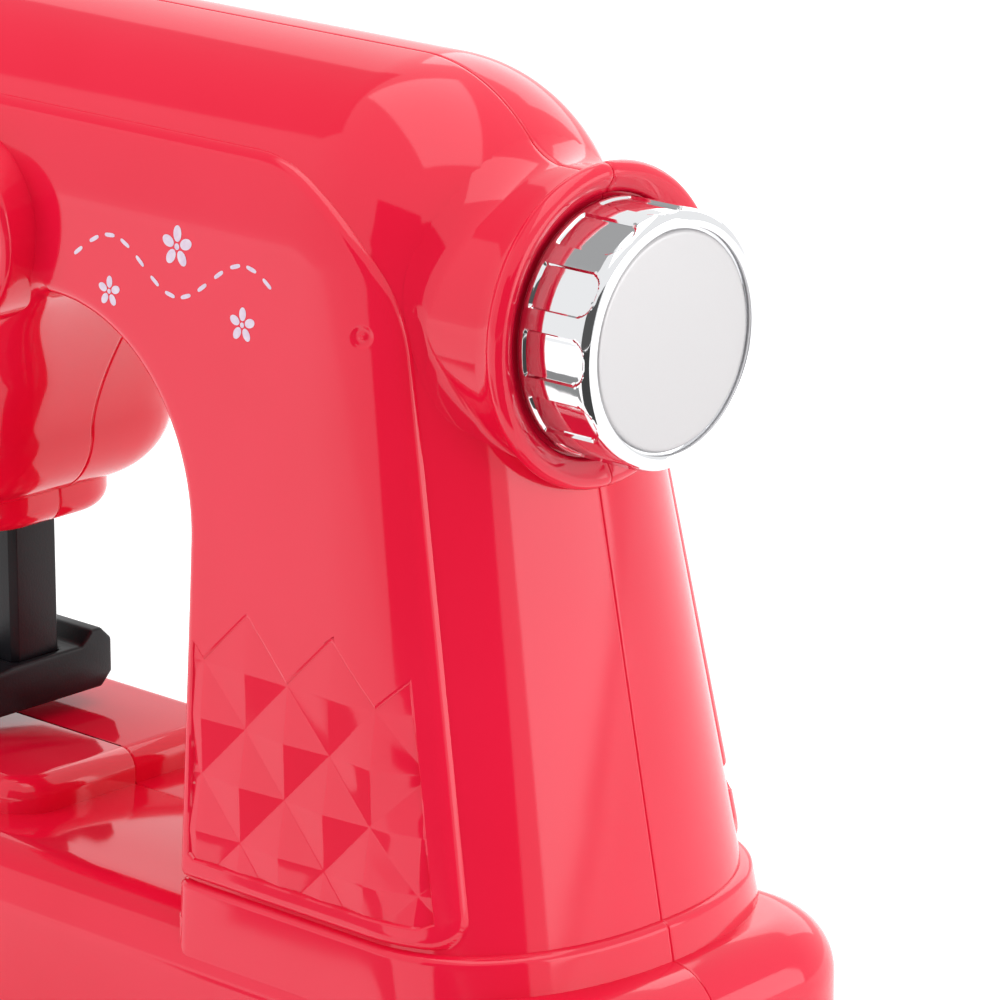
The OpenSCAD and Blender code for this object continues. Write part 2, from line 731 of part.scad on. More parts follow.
// Half of a rounded rectangle at one height, from the right end over the front to the left end
function half_ring(l, w, r, inset, z) =
    concat([[l / 2 - inset, 0, z]],
        [for (k = [0 : base_corner_steps]) let (q = -90 * k / base_corner_steps)
            [l / 2 - r + (r - inset) * cos(q), -w / 2 + r + (r - inset) * sin(q), z]],
        [for (k = [0 : base_corner_steps]) let (q = -90 - 90 * k / base_corner_steps)
            [-l / 2 + r + (r - inset) * cos(q), -w / 2 + r + (r - inset) * sin(q), z]],
        [[-l / 2 + inset, 0, z]]);
// Rings up a wall and over its rounded edge; skin is the inset of an inner surface
function edge_rings(l, w, r, low, high, edge, skin) =
    concat([half_ring(l, w, r, skin, low)],
        [for (k = [0 : base_edge_steps]) let (q = 90 * k / base_edge_steps)
            half_ring(l, w, r, edge - (edge - skin) * cos(q), high - edge + (edge - skin) * sin(q))]);

// Half tray, open below: wall, rounded edge and top
module half_tray(l, w, r, low, high, edge, wall) {
    outer = edge_rings(l, w, r, low, high, edge, 0);
    inner = edge_rings(l, w, r, low, high, edge, wall);
    rows = len(outer);
    cols = len(outer[0]);
    shift = rows * cols;
    last = (rows - 1) * cols;
    points = concat([for (row = outer) each row], [for (row = inner) each row]);
    skin_faces = [for (i = [0 : rows - 2]) for (j = [0 : cols - 2])
        let (a = i * cols + j) each concat(
            cell(a, a + 1, a + cols + 1, a + cols, false),
            cell(shift + a, shift + a + 1, shift + a + cols + 1, shift + a + cols, true))];
    parting_faces = [for (i = [0 : rows - 2])
        let (a = i * cols, b = a + cols - 1) each concat(
            cell(a, a + cols, shift + a + cols, shift + a, false),
            cell(b, b + cols, shift + b + cols, shift + b, true))];
    rim_faces = [for (j = [0 : cols - 2]) each cell(j, shift + j, shift + j + 1, j + 1, false)];
    top_faces = [for (j = [1 : cols - 2]) each [
        [last, last + j, last + j + 1],
        [shift + last, shift + last + j + 1, shift + last + j]]];
    top_parting = cell(last, last + cols - 1, shift + last + cols - 1, shift + last, false);
    polyhedron(points, concat(skin_faces, parting_faces, rim_faces, top_faces, top_parting));
}
// Solid half plate with a rounded upper edge
module half_pad(l, w, r, low, high, edge) {
    rings = edge_rings(l, w, r, low, high, edge, 0);
    rows = len(rings);
    cols = len(rings[0]);
    last = (rows - 1) * cols;
    side_faces = [for (i = [0 : rows - 2]) for (j = [0 : cols - 2])
        let (a = i * cols + j) each cell(a, a + 1, a + cols + 1, a + cols, false)];
    cap_faces = [for (j = [1 : cols - 2]) each [[last, last + j, last + j + 1], [0, j + 1, j]]];
    parting_faces = [for (i = [0 : rows - 2])
        let (a = i * cols, b = a + cols - 1) each cell(a, a + cols, b + cols, b, false)];
    polyhedron([for (row = rings) each row], concat(side_faces, cap_faces, parting_faces));
}

// Outline of the column's foot on the deck, front half, at an inset from its edge
function foot_outline(skin) = [for (p = section(foot_stations(skin)[0])) [p[0], p[1]]];

// One base half, on the front side
module half_base() {
    seat_z = deck_z - base_wall - column_seat_h;
    difference() {
        union() {
            half_tray(base_l, base_w, base_corner_r, base_z, deck_z, base_edge_r, base_wall);
            translate([(bed_left + bed_right) / 2, 0, 0])
                half_pad(bed_right - bed_left, bed_w, bed_corner_r, deck_z - bed_sink, bed_z, bed_edge_r);
            translate([0, 0, deck_z - base_edge_r + base_wall]) linear_extrude(base_edge_r - base_wall)
                difference() {
                    polygon(foot_outline(0));
                    polygon(foot_outline(body_wall));
                }
            for (p = base_screws_at)
                rod_z(p[0], -p[1], cover_z, boss_d, deck_z - base_wall / 2 - cover_z);
            for (p = column_screws_at) rod_z(p[0], -p[1], seat_z, boss_d, deck_z - seat_z);
        }
        for (p = base_screws_at)
            rod_z(p[0], -p[1], cover_z - over, screw_d + 2 * fit_gap, base_screw_l);
        for (p = column_screws_at)
            rod_z(p[0], -p[1], seat_z - over, screw_d + 2 * fit_gap, deck_z - seat_z + 2 * over);
        rod_z(corner_x, 0, deck_z - base_wall - over, cable_d, base_wall + 2 * over);
    }
}
module front_base_shell() {
    color(red) half_base();
}
module rear_base_shell() {
    slot_l = switch_w + switch_travel + 2 * switch_play;
    slot_w = switch_h + 2 * switch_play;
    color(red) difference() {
        mirror([0, 1, 0]) half_base();
        translate([switch_x - switch_w / 2 - switch_play, base_w / 2 - base_wall - over, switch_z - slot_w / 2])
            cube([slot_l, base_wall + 2 * over, slot_w]);
    }
}

// Cover under the base, with the battery bay and the recess for its door
module bottom_cover() {
    inset = base_wall + cover_gap;
    bay_out_l = bay_l + 2 * bay_wall;
    bay_out_w = bay_w + 2 * bay_wall;
    bay_top = cover_z + bay_h;
    tab_x = bay_l / 2 + door_ledge + door_tab_l / 2;
    color(white) difference() {
        union() {
            translate([0, 0, base_z]) linear_extrude(cover_t)
                round_plate(base_l - 2 * inset, base_w - 2 * inset, base_corner_r - inset);
            translate([-bay_out_l / 2, -bay_out_w / 2, base_z + cover_t / 2])
                cube([bay_out_l, bay_out_w, bay_top + bay_wall - base_z - cover_t / 2]);
            rod_z(tab_x, 0, cover_z - cover_t / 2, boss_d, door_boss_h + cover_t / 2);
        }
        translate([-bay_l / 2, -bay_w / 2, base_z - over]) cube([bay_l, bay_w, bay_top - base_z + over]);
        translate([-bay_l / 2 - door_ledge - cover_gap, -bay_w / 2 - door_ledge - cover_gap, base_z - over])
            cube([bay_l + 2 * (door_ledge + cover_gap), bay_w + 2 * (door_ledge + cover_gap), door_t + over]);
        translate([bay_l / 2, -door_tab_w / 2 - cover_gap, base_z - over])
            cube([door_ledge + door_tab_l + cover_gap, door_tab_w + 2 * cover_gap, door_t + over]);
        rod_z(tab_x, 0, base_z - over, screw_d + 2 * fit_gap, door_boss_h + cover_t);
        for (x = [-1, 1]) for (y = [-1, 1])
            rod_z(x * feet_x, y * feet_y, base_z - over, feet_spigot_d + 2 * fit_gap, cover_t + 2 * over);
        for (p = base_screws_at) for (y = [-1, 1]) {
            rod_z(p[0], y * p[1], base_z - over, screw_d + 2 * fit_gap, cover_t + 2 * over);
            rod_z(p[0], y * p[1], base_z - over, screw_head_d + 2 * fit_gap, base_screw_recess + over);
        }
    }
}
module battery_door() {
    tab_x = bay_l / 2 + door_ledge + door_tab_l / 2;
    color(white) difference() {
        translate([0, 0, base_z]) linear_extrude(door_t) union() {
            square([bay_l + 2 * door_ledge, bay_w + 2 * door_ledge], center = true);
            translate([bay_l / 2, -door_tab_w / 2]) square([door_ledge + door_tab_l, door_tab_w]);
        }
        rod_z(tab_x, 0, base_z - over, screw_d + 2 * fit_gap, door_t + 2 * over);
        rod_z(tab_x, 0, base_z - over, screw_head_d + 2 * fit_gap, door_t / 2 + over);
    }
}

// Screw along +Z with its head below the origin
module screw(l, head_h) {
    slot = screw_d / 4;
    difference() {
        union() {
            translate([0, 0, -head_h]) cylinder(d = screw_head_d, h = head_h);
            cylinder(d = screw_d, h = l);
        }
        for (q = [0, 90]) rotate(q) translate([-screw_d / 2, -slot / 2, -head_h - over])
            cube([screw_d, slot, over + head_h / 2]);
    }
}
module battery_door_screw() {
    color(steel) translate([bay_l / 2 + door_ledge + door_tab_l / 2, 0, base_z + door_t / 2])
        screw(door_boss_h, door_t / 2);
}
module rubber_feet() {
    color(rubber) for (x = [-1, 1]) for (y = [-1, 1]) translate([x * feet_x, y * feet_y, 0]) {
        cylinder(d1 = feet_d - feet_h / 2, d2 = feet_d, h = feet_h);
        cylinder(d = feet_spigot_d, h = cover_z);
    }
}
module body_screws() {
    color(steel) for (s = body_screws_at) translate([s[0], body_screw_seat, s[1]]) rotate([90, 0, 0])
        screw(body_screw_l, screw_head_h);
}
module column_screws() {
    seat_z = deck_z - base_wall - column_seat_h;
    color(steel) for (p = column_screws_at) for (y = [-1, 1]) translate([p[0], y * p[1], seat_z])
        screw(deck_z - seat_z + column_screw_h * column_screw_l_share, screw_head_h);
}
module base_screws() {
    color(steel) for (p = base_screws_at) for (y = [-1, 1])
        translate([p[0], y * p[1], base_z + base_screw_recess])
            screw(base_screw_l - base_screw_recess, base_screw_recess);
}

// Outline of a recess: square at the low end, round at the high end
function flute_outline(wide, low, high) =
    concat([[-low, wide / 2], [-low, -wide / 2]],
        [for (q = [-90 : 22.5 : 90]) [wide / 2 - high - wide / 2 * cos(q), wide / 2 * sin(q)]]);
// Knob with a hub, a face recess and shallow round-ended recesses round its rim, along +Z from its back
module knob(d, l, hub_d, bore_d, face_d, flutes, wide, long, rim_r) {
    r = d / 2;
    rim = [for (q = [0 : 15 : 90])
        [r - rim_r + rim_r * cos(q), l - rim_r + rim_r * sin(q)]];
    web = l - cap_depth - wheel_wall;
    difference() {
        rotate_extrude() polygon(concat(
            [[bore_d / 2, 0], [hub_d / 2, 0], [hub_d / 2, web], [r - wheel_wall - flute_depth, web],
                [r - wheel_wall - flute_depth, 0], [r, 0]],
            rim,
            [[face_d / 2 + cap_gap, l], [face_d / 2 + cap_gap, l - cap_depth], [bore_d / 2, l - cap_depth]]));
        for (k = [0 : flutes - 1]) rotate(360 * k / flutes) translate([r - flute_depth, 0, 0])
            rotate([0, 90, 0]) linear_extrude(flute_depth + over)
                polygon(flute_outline(wide, (l - long) / 3, long));
    }
}
// Crowned disc of a knob's face, along +Z from its seat
module crowned_disc(d) {
    crown = [for (k = [0 : crown_steps])
        let (s = k / crown_steps) [d / 2 * (1 - s), cap_t - cap_crown * pow(1 - s, 2)]];
    rotate_extrude() polygon(concat([[0, 0], [d / 2, 0]], crown));
}
module handwheel() {
    color(chrome) translate([wheel_back_x, 0, axis_z]) rotate([0, 90, 0])
        knob(wheel_d, wheel_l, wheel_hub_d, shaft_d + 2 * fit_gap, cap_d, flute_count, flute_w, flute_l,
            wheel_rim_r);
}
module handwheel_cap() {
    color(satin) translate([wheel_face_x - cap_depth, 0, axis_z]) rotate([0, 90, 0]) crowned_disc(cap_d);
}
module main_shaft() {
    start = crank_x + crank_t / 2;
    color(steel) rod_x(start, 0, axis_z, shaft_d, wheel_face_x - cap_depth - fit_gap - start);
}
module right_bush() {
    w = collar_face_x - dish_depth;
    color(brass) difference() {
        rod_x(w - collar_web, 0, axis_z, bush_d - 2 * fit_gap, collar_web);
        rod_x(w - collar_web - over, 0, axis_z, shaft_d + 2 * shaft_run, collar_web + 2 * over);
    }
}
module left_bush() {
    color(brass) difference() {
        rod_x(left_bush_x, 0, axis_z, left_bush_d - 2 * fit_gap, left_bush_l);
        rod_x(left_bush_x - over, 0, axis_z, shaft_d + 2 * shaft_run, left_bush_l + 2 * over);
    }
}

// Spur gear outline: involute flanks between the root and the tip
function involute_angle(base_r, r) =
    let (t = sqrt(max(r * r / (base_r * base_r) - 1, 0))) t * 180 / PI - atan(t);
function tooth_half_angle(teeth, r) =
    let (pitch_r = gear_module * teeth / 2, base_r = pitch_r * cos(pressure))
    90 / teeth - tooth_gap / pitch_r * 90 / PI
        + involute_angle(base_r, pitch_r) - involute_angle(base_r, max(r, base_r));
function gear_outline(teeth) =
    let (pitch_r = gear_module * teeth / 2, tip = pitch_r + gear_module * tooth_add_share,
        root = pitch_r - gear_module * tooth_root_share,
        radii = [for (k = [0 : flank_steps]) lerp(root, tip, k / flank_steps)])
    [for (k = [0 : teeth - 1]) let (mid = 360 * k / teeth)
        each concat(
            [for (r = radii)
                r * [cos(mid - tooth_half_angle(teeth, r)), sin(mid - tooth_half_angle(teeth, r))]],
            [for (j = [flank_steps : -1 : 0]) let (r = radii[j])
                r * [cos(mid + tooth_half_angle(teeth, r)), sin(mid + tooth_half_angle(teeth, r))]])];
module drive_gear() {
    web_r = gear_module * gear_teeth / 2 * web_share;
    hole_r = web_r * hole_share;
    color(white) translate([gear_x, 0, axis_z]) rotate([0, 90, 0]) linear_extrude(gear_w) difference() {
        polygon(gear_outline(gear_teeth));
        circle(d = shaft_d + 2 * fit_gap);
        for (k = [0 : web_holes - 1])
            rotate(360 * k / web_holes) translate([web_r * web_hole_share, 0]) circle(hole_r);
    }
}
module motor_pinion() {
    // One of the pinion's gaps faces the gear's lowest tooth
    turn = pinion_teeth % 2 == 0 ? 180 / pinion_teeth : 0;
    color(brass) translate([gear_x - pinion_over, 0, motor_z]) rotate([0, 90, 0])
        linear_extrude(gear_w + 2 * pinion_over) difference() {
            rotate(turn) polygon(gear_outline(pinion_teeth));
            circle(d = motor_shaft_d + 2 * fit_gap);
        }
}
module motor() {
    end_x = motor_x + motor_l;
    color(steel) {
        rod_x(motor_x, 0, motor_z, motor_d, motor_l);
        rod_x(end_x - motor_boss_l, 0, motor_z, motor_boss_d, 2 * motor_boss_l);
        rod_x(end_x, 0, motor_z, motor_shaft_d, gear_x + gear_w + pinion_over - end_x);
    }
}
module crank_disc() {
    color(white) difference() {
        union() {
            rod_x(crank_x, 0, axis_z, 2 * crank_r, crank_t);
            rod_x(crank_x + crank_t, 0, axis_z, 2 * shaft_d, crank_hub_l);
            rod_x(yoke_x + slide_gap, 0, axis_z - crank_throw, crank_pin_d,
                crank_x + crank_t / 2 - yoke_x - slide_gap);
        }
        rod_x(crank_x + crank_t / 2, 0, axis_z, shaft_d + 2 * fit_gap, crank_t + crank_hub_l);
    }
}

// Square stock with small chamfers, along +Z
module bar_outline(w) {
    h = w / 2;
    c = h - bar_chamfer;
    polygon([[h, c], [c, h], [-c, h], [-h, c], [-h, -c], [-c, -h], [c, -h], [h, -c]]);
}
module needle_bar() {
    low = shoe_z + shoe_h - shoe_socket;
    neck = slot_z - yoke_h / 2;
    color(black) difference() {
        union() {
            translate([needle_x, 0, low]) linear_extrude(neck - low) bar_outline(bar_w);
            translate([needle_x - bar_w / 2, -yoke_w / 2, neck]) cube([yoke_t, yoke_w, yoke_h]);
        }
        for (y = [-1, 1])
            rod_x(needle_x - bar_w / 2 - over, y * crank_throw, slot_z, slot_h, yoke_t + 2 * over);
        translate([needle_x - bar_w / 2 - over, -crank_throw, slot_z - slot_h / 2])
            cube([yoke_t + 2 * over, 2 * crank_throw, slot_h]);
    }
}
// Sled-shaped foot: side outline drawn out across the machine, with a slot between two toes
module presser_foot() {
    rear = shoe_l * shoe_rear_share;
    front = shoe_l - rear;
    toe = shoe_h * shoe_toe_share;
    cut = shoe_h * shoe_cut_share;
    slot_w = shoe_w * shoe_slot_share;
    side = [[-front, toe], [-front + toe, 0], [rear - cut, 0], [rear, cut], [rear, shoe_h - cut],
        [rear - cut, shoe_h], [rear - 2 * cut, shoe_h], [rear - 3 * cut, shoe_h - cut],
        [-front + 2 * toe, shoe_h - cut], [-front, toe + cut]];
    color(black) translate([needle_x, 0, shoe_z]) difference() {
        translate([-shoe_w / 2, 0, 0]) rotate([90, 0, 90]) linear_extrude(shoe_w) polygon(side);
        translate([0, 0, shoe_h - shoe_socket]) linear_extrude(shoe_socket + over)
            bar_outline(bar_w + 2 * fit_gap);
        translate([-slot_w / 2, -front - over, -over]) cube([slot_w, front - yoke_t + over, shoe_h + 2 * over]);
    }
}
// Sleeve that guides the needle bar, held between the body halves by its flange
module needle_guide() {
    low = needle_boss_z + guide_inset;
    seat = guide_seat_z + fit_gap;
    color(black) difference() {
        translate([needle_x, 0, 0]) rotate_extrude() polygon([
            [0, low], [guide_d / 2, low], [guide_d / 2, seat], [guide_flange_d / 2, seat],
            [guide_flange_d / 2, seat + guide_flange_t], [0, seat + guide_flange_t]]);
        translate([needle_x, 0, low - over]) linear_extrude(seat + guide_flange_t - low + 2 * over)
            square(bar_w + 2 * slide_gap, center = true);
    }
}

// Front dial, its disc, axle and retaining washer, along -Y
module front_dial() {
    color(chrome) translate([dial_x, -dial_back, dial_z]) rotate([90, 0, 0])
        knob(dial_d, dial_l, dial_axle_d * 2, dial_axle_d + 2 * fit_gap, dial_cap_d, dial_flutes, dial_flute_w,
            dial_flute_l, dial_rim_r);
}
module dial_cap() {
    color(satin) translate([dial_x, -dial_face + cap_depth, dial_z]) rotate([90, 0, 0])
        crowned_disc(dial_cap_d);
}
module dial_axle() {
    far = dial_face - cap_depth - fit_gap;
    color(white) mirror([0, 1, 0]) difference() {
        rod_y(dial_x, dial_axle_end, dial_z, dial_axle_d, far - dial_axle_end);
        difference() {
            rod_y(dial_x, dial_axle_end + over, dial_z, dial_axle_d + over, dial_clip_t + 2 * fit_gap);
            rod_y(dial_x, dial_axle_end, dial_z, dial_axle_d - 2 * dial_groove, dial_clip_t + 2 * over);
        }
    }
}
module dial_clip() {
    color(steel) mirror([0, 1, 0]) difference() {
        rod_y(dial_x, dial_axle_end + over + fit_gap, dial_z, dial_clip_d, dial_clip_t);
        rod_y(dial_x, dial_axle_end, dial_z, dial_axle_d - 2 * dial_groove + 2 * fit_gap,
            dial_clip_t + 3 * over);
    }
}

// Slide switch behind the rear wall of the base
module switch_body() {
    slot_l = switch_w + switch_travel + 2 * switch_play;
    slot_w = switch_h + 2 * switch_play;
    wall_y = base_w / 2 - base_wall;
    mid_x = switch_x + switch_travel / 2;
    color(black) difference() {
        translate([mid_x - switch_body_l / 2, wall_y - switch_body_d, switch_z - switch_body_h / 2])
            cube([switch_body_l, switch_body_d, switch_body_h]);
        translate([mid_x - slot_l / 2, wall_y - switch_slot_d, switch_z - slot_w / 2])
            cube([slot_l, switch_slot_d + over, slot_w]);
    }
}
module switch_slider() {
    back = base_w / 2 - base_wall - switch_slot_d + switch_play;
    face = base_w / 2 - switch_inset;
    ridge = switch_w / 6;
    color(black) difference() {
        translate([switch_x - switch_w / 2, back, switch_z - switch_h / 2])
            cube([switch_w, face - back, switch_h]);
        for (k = [-1, 1])
            translate([switch_x + k * ridge - ridge / 2, face - ridge / 2, switch_z - switch_h / 2 - over])
                cube([ridge, ridge, switch_h + 2 * over]);
    }
}

// Cells and their contacts
function cell_y(k) = (k - (cell_count - 1) / 2) * cell_pitch;
module batteries() {
    color(blue) for (k = [0 : cell_count - 1]) {
        rod_x(cell_x, cell_y(k), cell_z, cell_d, cell_l - cell_nub_l);
        rod_x(cell_x + cell_l - 2 * cell_nub_l, cell_y(k), cell_z, cell_nub_d, 2 * cell_nub_l);
    }
}
module battery_springs() {
    color(steel) for (k = [0 : cell_count - 1]) translate([cell_x - spring_l, cell_y(k), cell_z])
        rotate([0, 90, 0]) difference() {
            cylinder(d1 = cell_d * spring_low_share, d2 = cell_d * spring_high_share, h = spring_l);
            translate([0, 0, -over]) cylinder(d = cell_d * spring_bore_share, h = spring_l + 2 * over);
        }
}
module battery_plates() {
    size = cell_d * plate_share;
    color(steel) for (k = [0 : cell_count - 1]) for (x = [-bay_l / 2, bay_l / 2 - plate_t])
        translate([x, cell_y(k) - size / 2, cell_z - size / 2]) cube([plate_t, size, size]);
}

front_body_shell();
rear_body_shell();
front_base_shell();
rear_base_shell();
bottom_cover();
battery_door();
battery_door_screw();
rubber_feet();
body_screws();
column_screws();
base_screws();
handwheel();
handwheel_cap();
main_shaft();
right_bush();
left_bush();
drive_gear();
motor();
motor_pinion();
crank_disc();
needle_bar();
presser_foot();
needle_guide();
front_dial();
dial_cap();
dial_axle();
dial_clip();
switch_body();
switch_slider();
batteries();
battery_springs();
battery_plates();
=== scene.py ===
# Toy sewing machine: a gloss red moulding in two halves with a raised, quilted front panel, a chrome-plated
# handwheel and dial, a black needle bar with its sled foot, and a base with a battery bay underneath.
import json
import math
import bpy
import numpy as np
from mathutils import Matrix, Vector
from mathutils.bvhtree import BVHTree

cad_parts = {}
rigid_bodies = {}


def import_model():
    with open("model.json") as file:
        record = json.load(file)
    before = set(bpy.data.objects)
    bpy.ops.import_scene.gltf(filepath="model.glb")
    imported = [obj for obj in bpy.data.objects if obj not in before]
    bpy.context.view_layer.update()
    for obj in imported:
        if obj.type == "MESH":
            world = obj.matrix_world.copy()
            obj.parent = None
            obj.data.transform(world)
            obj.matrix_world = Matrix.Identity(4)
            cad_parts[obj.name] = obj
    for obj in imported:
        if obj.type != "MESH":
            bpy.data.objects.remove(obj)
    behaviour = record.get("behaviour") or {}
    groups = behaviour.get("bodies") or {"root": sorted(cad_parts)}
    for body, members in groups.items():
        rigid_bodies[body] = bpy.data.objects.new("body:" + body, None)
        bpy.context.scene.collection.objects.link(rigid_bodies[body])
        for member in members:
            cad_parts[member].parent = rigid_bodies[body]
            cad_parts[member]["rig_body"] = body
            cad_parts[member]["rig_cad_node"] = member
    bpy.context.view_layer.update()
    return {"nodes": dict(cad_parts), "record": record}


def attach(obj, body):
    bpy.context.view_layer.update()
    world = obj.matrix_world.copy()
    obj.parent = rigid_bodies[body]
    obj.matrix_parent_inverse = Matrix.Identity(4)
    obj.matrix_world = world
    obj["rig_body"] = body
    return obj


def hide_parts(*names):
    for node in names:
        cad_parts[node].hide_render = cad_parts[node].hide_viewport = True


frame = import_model()
MM = 0.001

# Places of the machine in millimetres: +X towards the handwheel, front towards -Y, table at Z = 0
DECK, AXIS, TOP = 34.0, 144.0, 185.0
COLUMN_RIGHT, COLUMN_LEFT, SLOPE = 96.5, 18.0, 0.2
LEAN = math.atan(SLOPE)
FOOT_HALF, ARM_HALF = 42.0, 33.0
CORNER, CORNER_R, SHOULDER = np.array([39.246, 152.0]), 33.0, 158.47
ARCH, ARCH_R = np.array([-20.0, 100.0]), 38.0
ARCH_SWEEP = np.array([(-20, 138), (-27.95, 138), (-46.5, 110.25), (-46.5, 101)])
NEEDLE_X, HEAD_W, HEAD_LEFT, HEAD_RIGHT, TUB, TUB_R = -69.0, 45.0, -91.5, -46.5, 101.0, 14.0
HEAD_CORNER_R, HEAD_HALF, HEAD_ROUND, HEAD_EDGE = 30.0, 29.0, 22.05, 14.85
ROUND, POWER, LIFT = 30.0, 2.2, 1.4
SKIRT_TOP, FLARE, FLARE_RUN = 39.6, 1.5, 1.15
PANEL_LOW, PANEL_TOP, PANEL_INSET, PANEL_CORNER, PANEL_FOOT_CORNER = 41.4, 170.5, 12.1, 30, 6
EDGE_SHARE_PANEL, EDGE_SHARE_HEAD = 0.44, 0.483
PARTING_AT, PARTING_SINK = [0, 0.16, 0.5], [0.3, 0.1, 0]
NECK_R, NECK_ROOT, NECK_END, COLLAR_R = 26.05, 60, 77.2, 28.25
COVE_WIDTH, NECK_FILLET, COVE_ROOM, COVE_BEND, COVE_TOP = 1.6, 2.8, 76.8, 76.5, 77.5
WHEEL_BACK, WHEEL_R, CAP_R = 81.7, 22.45, 19.1
DIAL_X, DIAL_Z, DIAL_FLOOR, DIAL_BACK, DIAL_R, DIAL_CAP_R = -40.5, 147.0, 35.54, 36.04, 13.75, 10.72
QUILT_X, QUILT_Z, QUILT_STEP, QUILT_LOW, QUILT_SIDE = 13.2, 40.2, 10.2, 45.3, 16.5
SLOT = np.array([(-57.65, 10.6), (-46.85, 10.6), (-46.85, 15.4), (-57.65, 15.4)])
WELLS = [(78.5, 54.0), (32.0, 54.0), (25.0, 100.0), (39.25, 171.0), (-80.5, 151.5), (-80.5, 108.5)]
WELL_R, WELL_SEAT, SCREW_R = 2.9, 9.5, 1.1
GATE, GATE_R = (55.7, 143.6), 2.1
CUT_PLAY = 0.01
WAVE_START, WAVE_END, WAVE_Z, WAVE_LENGTH, WAVE_HEIGHT = -12, 37.5, 147.5, 33, 4
STITCH_PITCH, INK_PROUD = 3.9, 0.05
BASE_SIZE, BASE_CORNER, BASE_EDGE = (217, 90, 32), 22, 11
BED_SIZE, BED_CORNER, BED_EDGE = (58, 58, 7.5), 9, 4


# Ways of working on a piece

def work_on(piece):
    if bpy.context.object and bpy.context.object.mode != "OBJECT":
        bpy.ops.object.mode_set(mode="OBJECT")
    bpy.ops.object.select_all(action="DESELECT")
    piece.select_set(True)
    bpy.context.view_layer.objects.active = piece


def named(name):
    piece = bpy.context.object
    piece.name = piece.data.name = name
    return piece


def choose(piece, kind, test):
    """Opens a piece with those edges or faces chosen whose middle and direction pass the test."""
    work_on(piece)
    bpy.ops.object.mode_set(mode="EDIT")
    bpy.ops.mesh.select_mode(type=kind)
    bpy.ops.mesh.select_all(action="DESELECT")
    bpy.ops.object.mode_set(mode="OBJECT")
    mesh = piece.data
    if kind == "FACE":
        for face in mesh.polygons:
            face.select = test(face.center / MM, face.normal)
    else:
        for edge in mesh.edges:
            a, b = (mesh.vertices[k].co for k in edge.vertices)
            edge.select = test((a + b) / (2 * MM), (b - a).normalized())
    bpy.ops.object.mode_set(mode="EDIT")


def edit_all(piece):
    """Opens a piece with everything chosen."""
    work_on(piece)
    bpy.ops.object.mode_set(mode="EDIT")
    bpy.ops.mesh.select_all(action="SELECT")


def points_of(piece):
    flat = np.empty(3 * len(piece.data.vertices))
    piece.data.vertices.foreach_get("co", flat)
    return flat.reshape(-1, 3) / MM


def normals_of(piece):
    flat = np.empty(3 * len(piece.data.vertices))
    piece.data.vertices.foreach_get("normal", flat)
    return flat.reshape(-1, 3)


def place_points(piece, places):
    piece.data.vertices.foreach_set("co", (np.asarray(places) * MM).ravel())
    piece.data.update()


def finish_with(piece, kind, **settings):
    work_on(piece)
    modifier = piece.modifiers.new(kind, kind)
    for key, value in settings.items():
        setattr(modifier, key, value)
    bpy.ops.object.modifier_apply(modifier=modifier.name)


def tidy(piece, outward=True):
    """Merges doubles and turns the faces outwards."""
    edit_all(piece)
    bpy.ops.mesh.remove_doubles(threshold=0.004 * MM)
    if outward:
        bpy.ops.mesh.normals_make_consistent(inside=False)
    bpy.ops.object.mode_set(mode="OBJECT")


def smooth(piece, angle):
    work_on(piece)
    bpy.ops.object.shade_smooth_by_angle(angle=math.radians(angle))


def join(name, pieces):
    work_on(pieces[0])
    for other in pieces[1:]:
        other.select_set(True)
    bpy.ops.object.join()
    return named(name)


def copy_of(piece, name):
    twin = piece.copy()
    twin.data = piece.data.copy()
    twin.parent = None
    bpy.context.scene.collection.objects.link(twin)
    twin.name = twin.data.name = name
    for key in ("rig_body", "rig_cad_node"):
        if key in twin:
            del twin[key]
    return twin


def flipped(piece, name):
    """A twin of a front piece for the rear half."""
    twin = copy_of(piece, name)
    place_points(twin, points_of(twin) * [1, -1, 1])
    edit_all(twin)
    bpy.ops.mesh.flip_normals()
    bpy.ops.object.mode_set(mode="OBJECT")
    return twin


def turned(name, outline, centre, axis, steps):
    """Turns an outline of (radius, height) round an axis through centre, as on a lathe."""
    axis = Vector(axis)
    across = Vector((0, 0, 1)) if abs(axis.z) < 0.5 else Vector((1, 0, 0))
    places = [(Vector(centre) + axis * h + across * r) * MM for r, h in outline]
    bpy.ops.mesh.primitive_plane_add(size=MM, location=(0, 0, 0))
    piece = named(name)
    bpy.ops.object.mode_set(mode="EDIT")
    bpy.ops.mesh.select_mode(type="VERT")
    bpy.ops.mesh.select_all(action="SELECT")
    bpy.ops.mesh.merge(type="CENTER")
    bpy.ops.transform.translate(value=places[0])
    for a, b in zip(places, places[1:]):
        bpy.ops.mesh.extrude_region_move(TRANSFORM_OT_translate={"value": b - a})
    bpy.ops.mesh.select_all(action="SELECT")
    bpy.ops.mesh.spin(steps=steps, angle=math.tau, center=Vector(centre) * MM, axis=axis)
    bpy.ops.object.mode_set(mode="OBJECT")
    tidy(piece)
    return piece


def arc(centre, radius, first, last, steps):
    """Points of a round edge, angles in degrees."""
    return [(centre[0] + radius * math.cos(math.radians(q)), centre[1] + radius * math.sin(math.radians(q)))
            for q in np.linspace(first, last, steps + 1)]


def spread(outline, pitch):
    """The outline with its long runs divided to the pitch."""
    out = [outline[0]]
    for a, b in zip(outline, outline[1:]):
        parts = max(1, math.ceil(math.dist(a, b) / pitch))
        out += [tuple(np.array(a) + (np.array(b) - np.array(a)) * k / parts) for k in range(1, parts + 1)]
    return out


